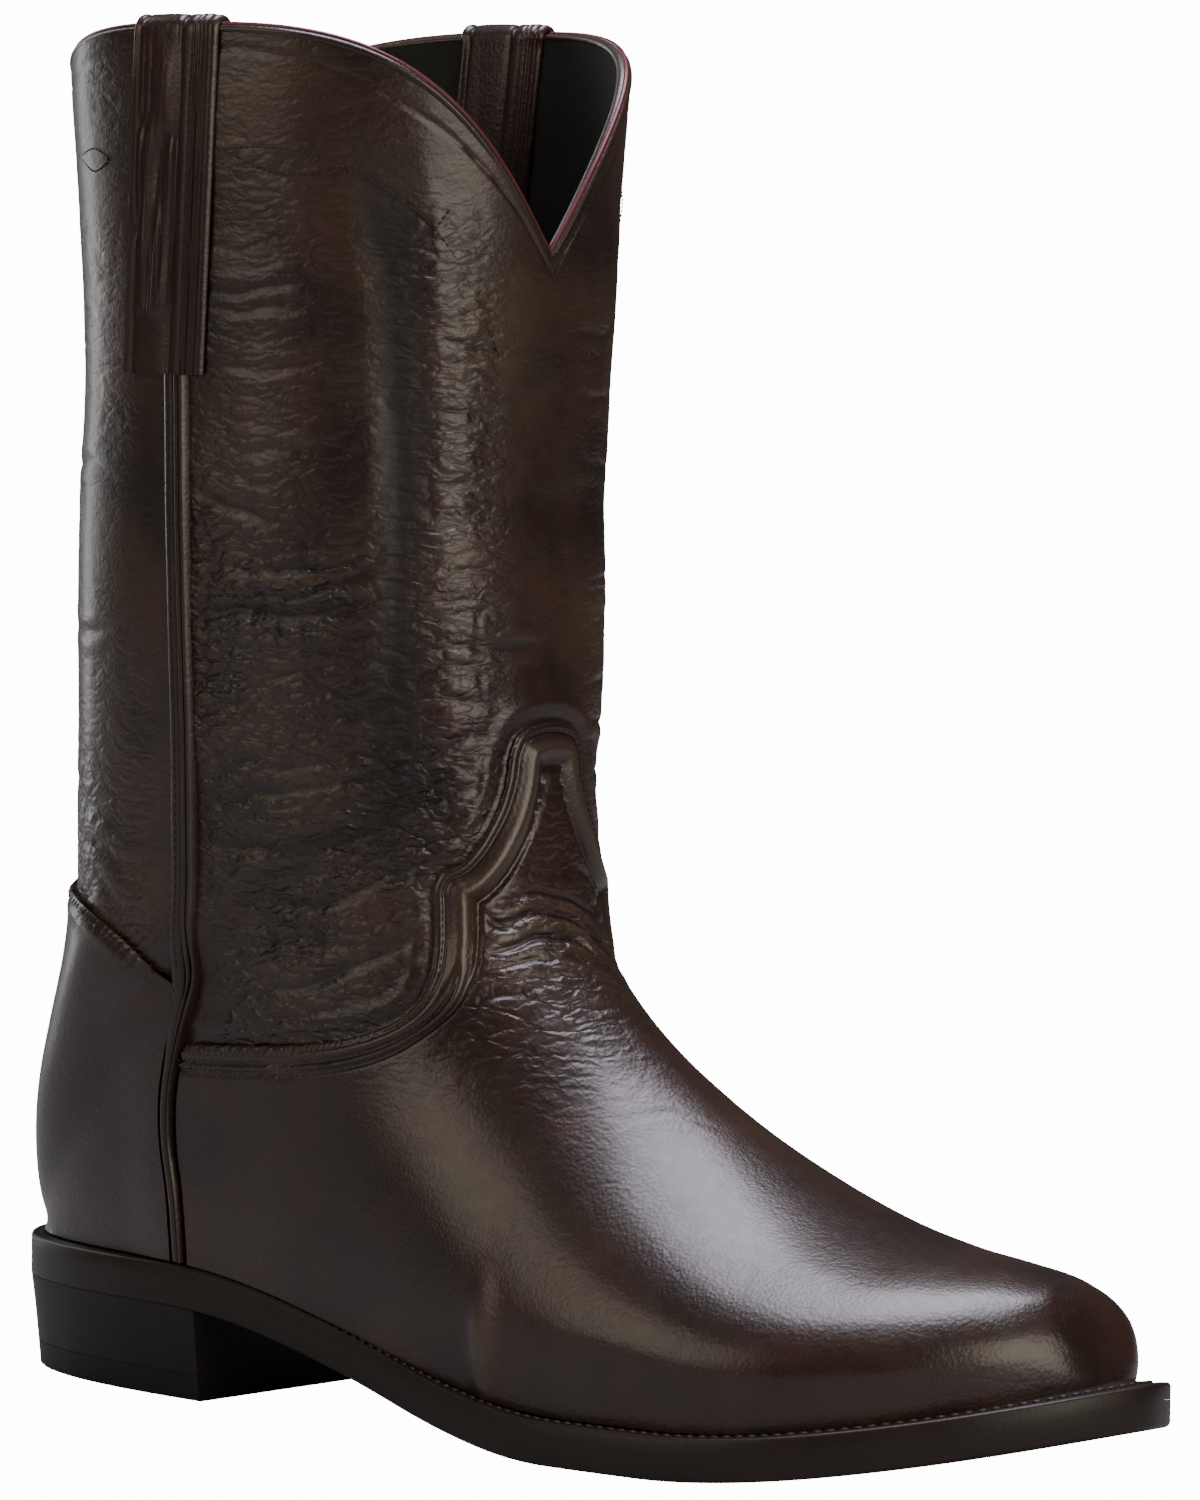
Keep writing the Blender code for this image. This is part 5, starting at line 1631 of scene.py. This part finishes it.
def stitch_piece(name, rows, pitch, half_wide, half_high, slot):
    """Rows of stitches, each a copy of one small pod laid along its line."""
    bpy.ops.object.select_all(action="DESELECT")
    bpy.ops.mesh.primitive_uv_sphere_add(segments=6, ring_count=4, radius=1, rotation=(0, math.pi / 2, 0))
    item = bpy.context.active_object
    bpy.ops.object.transform_apply(location=True, rotation=True, scale=True)
    item.name = name
    item.data.name = name
    pod = np.array([tuple(v.co) for v in item.data.vertices])
    pod *= (0.42 * pitch, half_wide, half_high)
    faces = [tuple(face.vertices) for face in item.data.polygons]
    all_points, all_faces = [], []
    for line, normals in rows:
        run = np.concatenate([[0], np.cumsum(np.linalg.norm(np.diff(line, axis=0), axis=1))])
        at = np.arange(pitch / 2, run[-1], pitch)
        middle = np.stack([np.interp(at, run, line[:, k]) for k in range(3)], 1)
        ahead = np.stack([np.interp(at + 0.3, run, line[:, k]) for k in range(3)], 1)
        behind = np.stack([np.interp(at - 0.3, run, line[:, k]) for k in range(3)], 1)
        up = np.stack([np.interp(at, run, normals[:, k]) for k in range(3)], 1)
        for centre, way, out in zip(middle, ahead - behind, up):
            way = way / np.linalg.norm(way)
            cross = np.cross(out, way)
            cross /= np.linalg.norm(cross)
            out = np.cross(way, cross)
            base = len(all_points) * len(pod)
            all_points.append(centre + pod @ np.array((way, cross, out)))
            all_faces += [tuple(i + base for i in face) for face in faces]
    item.data.clear_geometry()
    item.data.from_pydata(part_points(np.concatenate(all_points)).tolist(), [], all_faces)
    finish_piece(item, boot_material("waxed_thread"), slot, angle=60)


# Fancy stitching on the outer side of the shaft, as x, z pairs
SIDE_STITCHING = [
    ((84.0, 277.5), (94.0, 277.0), (103.3, 277.3), (111.6, 277.8), (120.9, 277.0), (128.5, 275.0)),
    ((86.0, 275.5), (94.0, 277.6), (104.5, 276.3), (112.0, 273.1), (120.8, 271.9), (128.5, 273.2)),
    ((40.0, 278.5), (49.0, 275.1), (58.0, 272.4), (63.7, 275.0), (58.3, 277.2), (50.0, 276.0), (40.0, 273.0)),
]

# Fancy stitching beside the notch, as x, y, z on the shaft
NOTCH_STITCHING = [
    ((129.0, -43.0, 274.0), (136.9, -37.6, 269.0), (141.9, -31.9, 263.8), (145.2, -26.0, 256.3),
     (147.4, -20.3, 245.6), (148.6, -14.0, 233.0)),
    ((145.5, -26.3, 264.8), (143.6, -29.4, 258.4), (144.6, -27.0, 253.0), (147.2, -21.8, 249.0),
     (148.3, -17.8, 243.6), (146.6, -22.6, 238.0), (144.6, -26.0, 233.0)),
]


class BOOT_OT_stitching(bpy.types.Operator):
    """Make the rows of stitches on the vamp, the side seams and the shaft"""

    bl_idname = "boot.stitching"
    bl_label = "Stitching"

    def execute(self, context):
        rows = []
        spots = [(side_points(pairs), 0.05) for pairs in SIDE_STITCHING]
        for table, lift in spots + [(table, 0.15) for table in NOTCH_STITCHING]:
            line = route(table, 0.8)
            rows += [lay(turned, lift)[:2] for turned in (line, line * MIRROR)]
        stitch_piece("shaft_stitches", rows, user_size("shaft_pitch"), 0.22, 0.2, "upper_leather")
        points, normals, ahead = lay(VAMP_LINE, 0.0)
        down = np.cross(ahead, normals)
        overlay = user_size("overlay")
        rows = []
        for share, lift in ((0.19, overlay - 0.25), (0.64, overlay - 0.45)):
            rows.append(lay(points + down * (share * band_across(points))[:, None], lift)[:2])
        stitch_piece("vamp_stitches", rows, user_size("vamp_pitch"), 0.26, 0.24, "vamp_leather")
        rows = []
        for side in (-1, 1):
            spots = [drape(float(seam_place(z)) - 1.9, z, side) for z in np.arange(98.0, 228.0, seam_step)]
            normals = soften(np.array([normal for point, normal in spots]))
            rows.append((soften(np.array([point for point, normal in spots])) + normals * 1.2, normals))
        stitch_piece("seam_stitches", rows, user_size("seam_pitch"), 0.26, 0.22, "upper_leather")
        return {"FINISHED"}


class BOOT_OT_stage(bpy.types.Operator):
    """Set the floor, the soft studio light and the camera"""

    bl_idname = "boot.stage"
    bl_label = "Stage"

    def execute(self, context):
        bpy.ops.object.select_all(action="DESELECT")
        bpy.ops.mesh.primitive_plane_add(size=floor_size, location=(0, 0, -floor_drop))
        floor = context.active_object
        floor.name = "floor"
        paper, tree, shader, place = new_material("pale_paper")
        shader.inputs["Base Color"].default_value = linear(context.scene.boot_look.paper)
        shader.inputs["Roughness"].default_value = 0.8
        seen = add_node(tree, "ShaderNodeLightPath").outputs["Is Camera Ray"]
        glow = add_node(tree, "ShaderNodeMath", {"operation": "MULTIPLY"}, n0=seen, n1=background_light)
        tree.links.new(glow.outputs[0], shader.inputs["Emission Strength"])
        shader.inputs["Emission Color"].default_value = (1, 1, 1, 1)
        floor.data.materials.append(paper)
        world = bpy.data.worlds.new("studio")
        context.scene.world = world
        world.use_nodes = True
        tree = world.node_tree
        background = tree.nodes["Background"]
        background.inputs["Color"].default_value = (1, 1, 1, 1)
        seen = add_node(tree, "ShaderNodeLightPath").outputs["Is Camera Ray"]
        level = add_node(tree, "ShaderNodeMapRange", {}, Value=seen, To_Min=ambient_light,
                         To_Max=background_light)
        tree.links.new(level.outputs[0], background.inputs["Strength"])
        for name, place, size, power, tint in LIGHTS:
            bpy.ops.object.light_add(type="AREA", location=place)
            light = context.active_object
            light.name = name
            light.data.shape = "RECTANGLE"
            light.data.size, light.data.size_y = size
            light.data.energy = power
            light.data.color = linear(tint)[:3]
            light.rotation_mode = "QUATERNION"
            light.rotation_quaternion = (Vector(lamp_aim) - light.location).to_track_quat("-Z", "Y")
        set_camera()
        return {"FINISHED"}


# Lamps of the studio, in metres and watts
LIGHTS = [
    # name, place, size, power, colour
    ("softbox_top", (0.05, 0.10, 1.35), (0.85, 0.9), 27.0, "f2f0ff"),
    ("strip_back", (-1.45, 0.15, 0.55), (0.30, 1.5), 5.0, "ffffff"),
    ("softbox_front", (1.43, -0.27, 0.42), (0.9, 1.1), 12.0, "fff4e2"),
    ("fill_side", (-0.55, -1.5, 0.7), (0.8, 1.0), 5.2, "fff0dc"),
]
lamp_aim = (0.10, 0.0, 0.14)
ambient_light = 0.05
background_light = 14.0

# The floor, in metres. It lies just under the sole.
floor_size = 6.0
floor_drop = 0.0005

# The camera, solved from the photo: where it stands round the boot, how far, and its lens
camera_azimuth = 43.095
camera_elevation = 3.913
camera_distance = 1738.7
camera_focal_pixels = 7943.8
camera_roll = 0.542
camera_target = (97.26, 0.0, 150.0)
camera_shift = (-102.4, -13.7)
photo_height = 1500
sensor_size = 36.0


def set_camera():
    """Put the camera where the photographer stood."""
    azimuth, elevation = math.radians(camera_azimuth), math.radians(camera_elevation)
    back = Vector((math.sin(azimuth) * math.cos(elevation), -math.cos(azimuth) * math.cos(elevation),
                   math.sin(elevation)))
    place = Vector(camera_target) * MM + back * camera_distance * MM
    side = Vector((0, 0, 1)).cross(back).normalized()
    up = back.cross(side)
    aim = Vector(camera_target) * MM
    reach = camera_distance * MM / camera_focal_pixels
    aim -= side * camera_shift[0] * reach
    aim += up * camera_shift[1] * reach
    bpy.ops.object.camera_add(location=place)
    camera = bpy.context.active_object
    camera.name = "camera"
    camera.rotation_euler = (aim - place).to_track_quat("-Z", "Y").to_euler()
    camera.rotation_euler.rotate_axis("Z", math.radians(camera_roll))
    camera.data.sensor_fit = "AUTO"
    camera.data.sensor_width = sensor_size
    camera.data.lens = camera_focal_pixels * sensor_size / photo_height
    bpy.context.scene.camera = camera


STEPS = ["shaft", "lining", "vamp", "counter", "side_seams", "pull_straps", "collar", "sole", "welt",
         "stitching", "stage"]


class BOOT_PT_panel(bpy.types.Panel):
    """The boot's pieces, in the order in which they are made"""

    bl_idname = "BOOT_PT_panel"
    bl_label = "Roper Boot"
    bl_space_type = "VIEW_3D"
    bl_region_type = "UI"
    bl_category = "Boot"

    def draw(self, context):
        look = context.scene.boot_look
        for name in BootLook.__annotations__:
            self.layout.prop(look, name)
        for step in STEPS:
            self.layout.operator("boot." + step)


CLASSES = [BootLook, BOOT_OT_shaft, BOOT_OT_lining, BOOT_OT_vamp, BOOT_OT_counter, BOOT_OT_side_seams,
           BOOT_OT_pull_straps, BOOT_OT_collar, BOOT_OT_sole, BOOT_OT_welt, BOOT_OT_stitching, BOOT_OT_stage,
           BOOT_PT_panel]


def register():
    """Register the add-on's classes."""
    for item in CLASSES:
        bpy.utils.register_class(item)
    bpy.types.Scene.boot_look = bpy.props.PointerProperty(type=BootLook)


def unregister():
    """Remove the add-on's classes."""
    del bpy.types.Scene.boot_look
    for item in reversed(CLASSES):
        bpy.utils.unregister_class(item)


def main():
    """Build the boot and its stage."""
    register()
    for step in STEPS:
        getattr(bpy.ops.boot, step)()


if __name__ == "__main__":
    main()
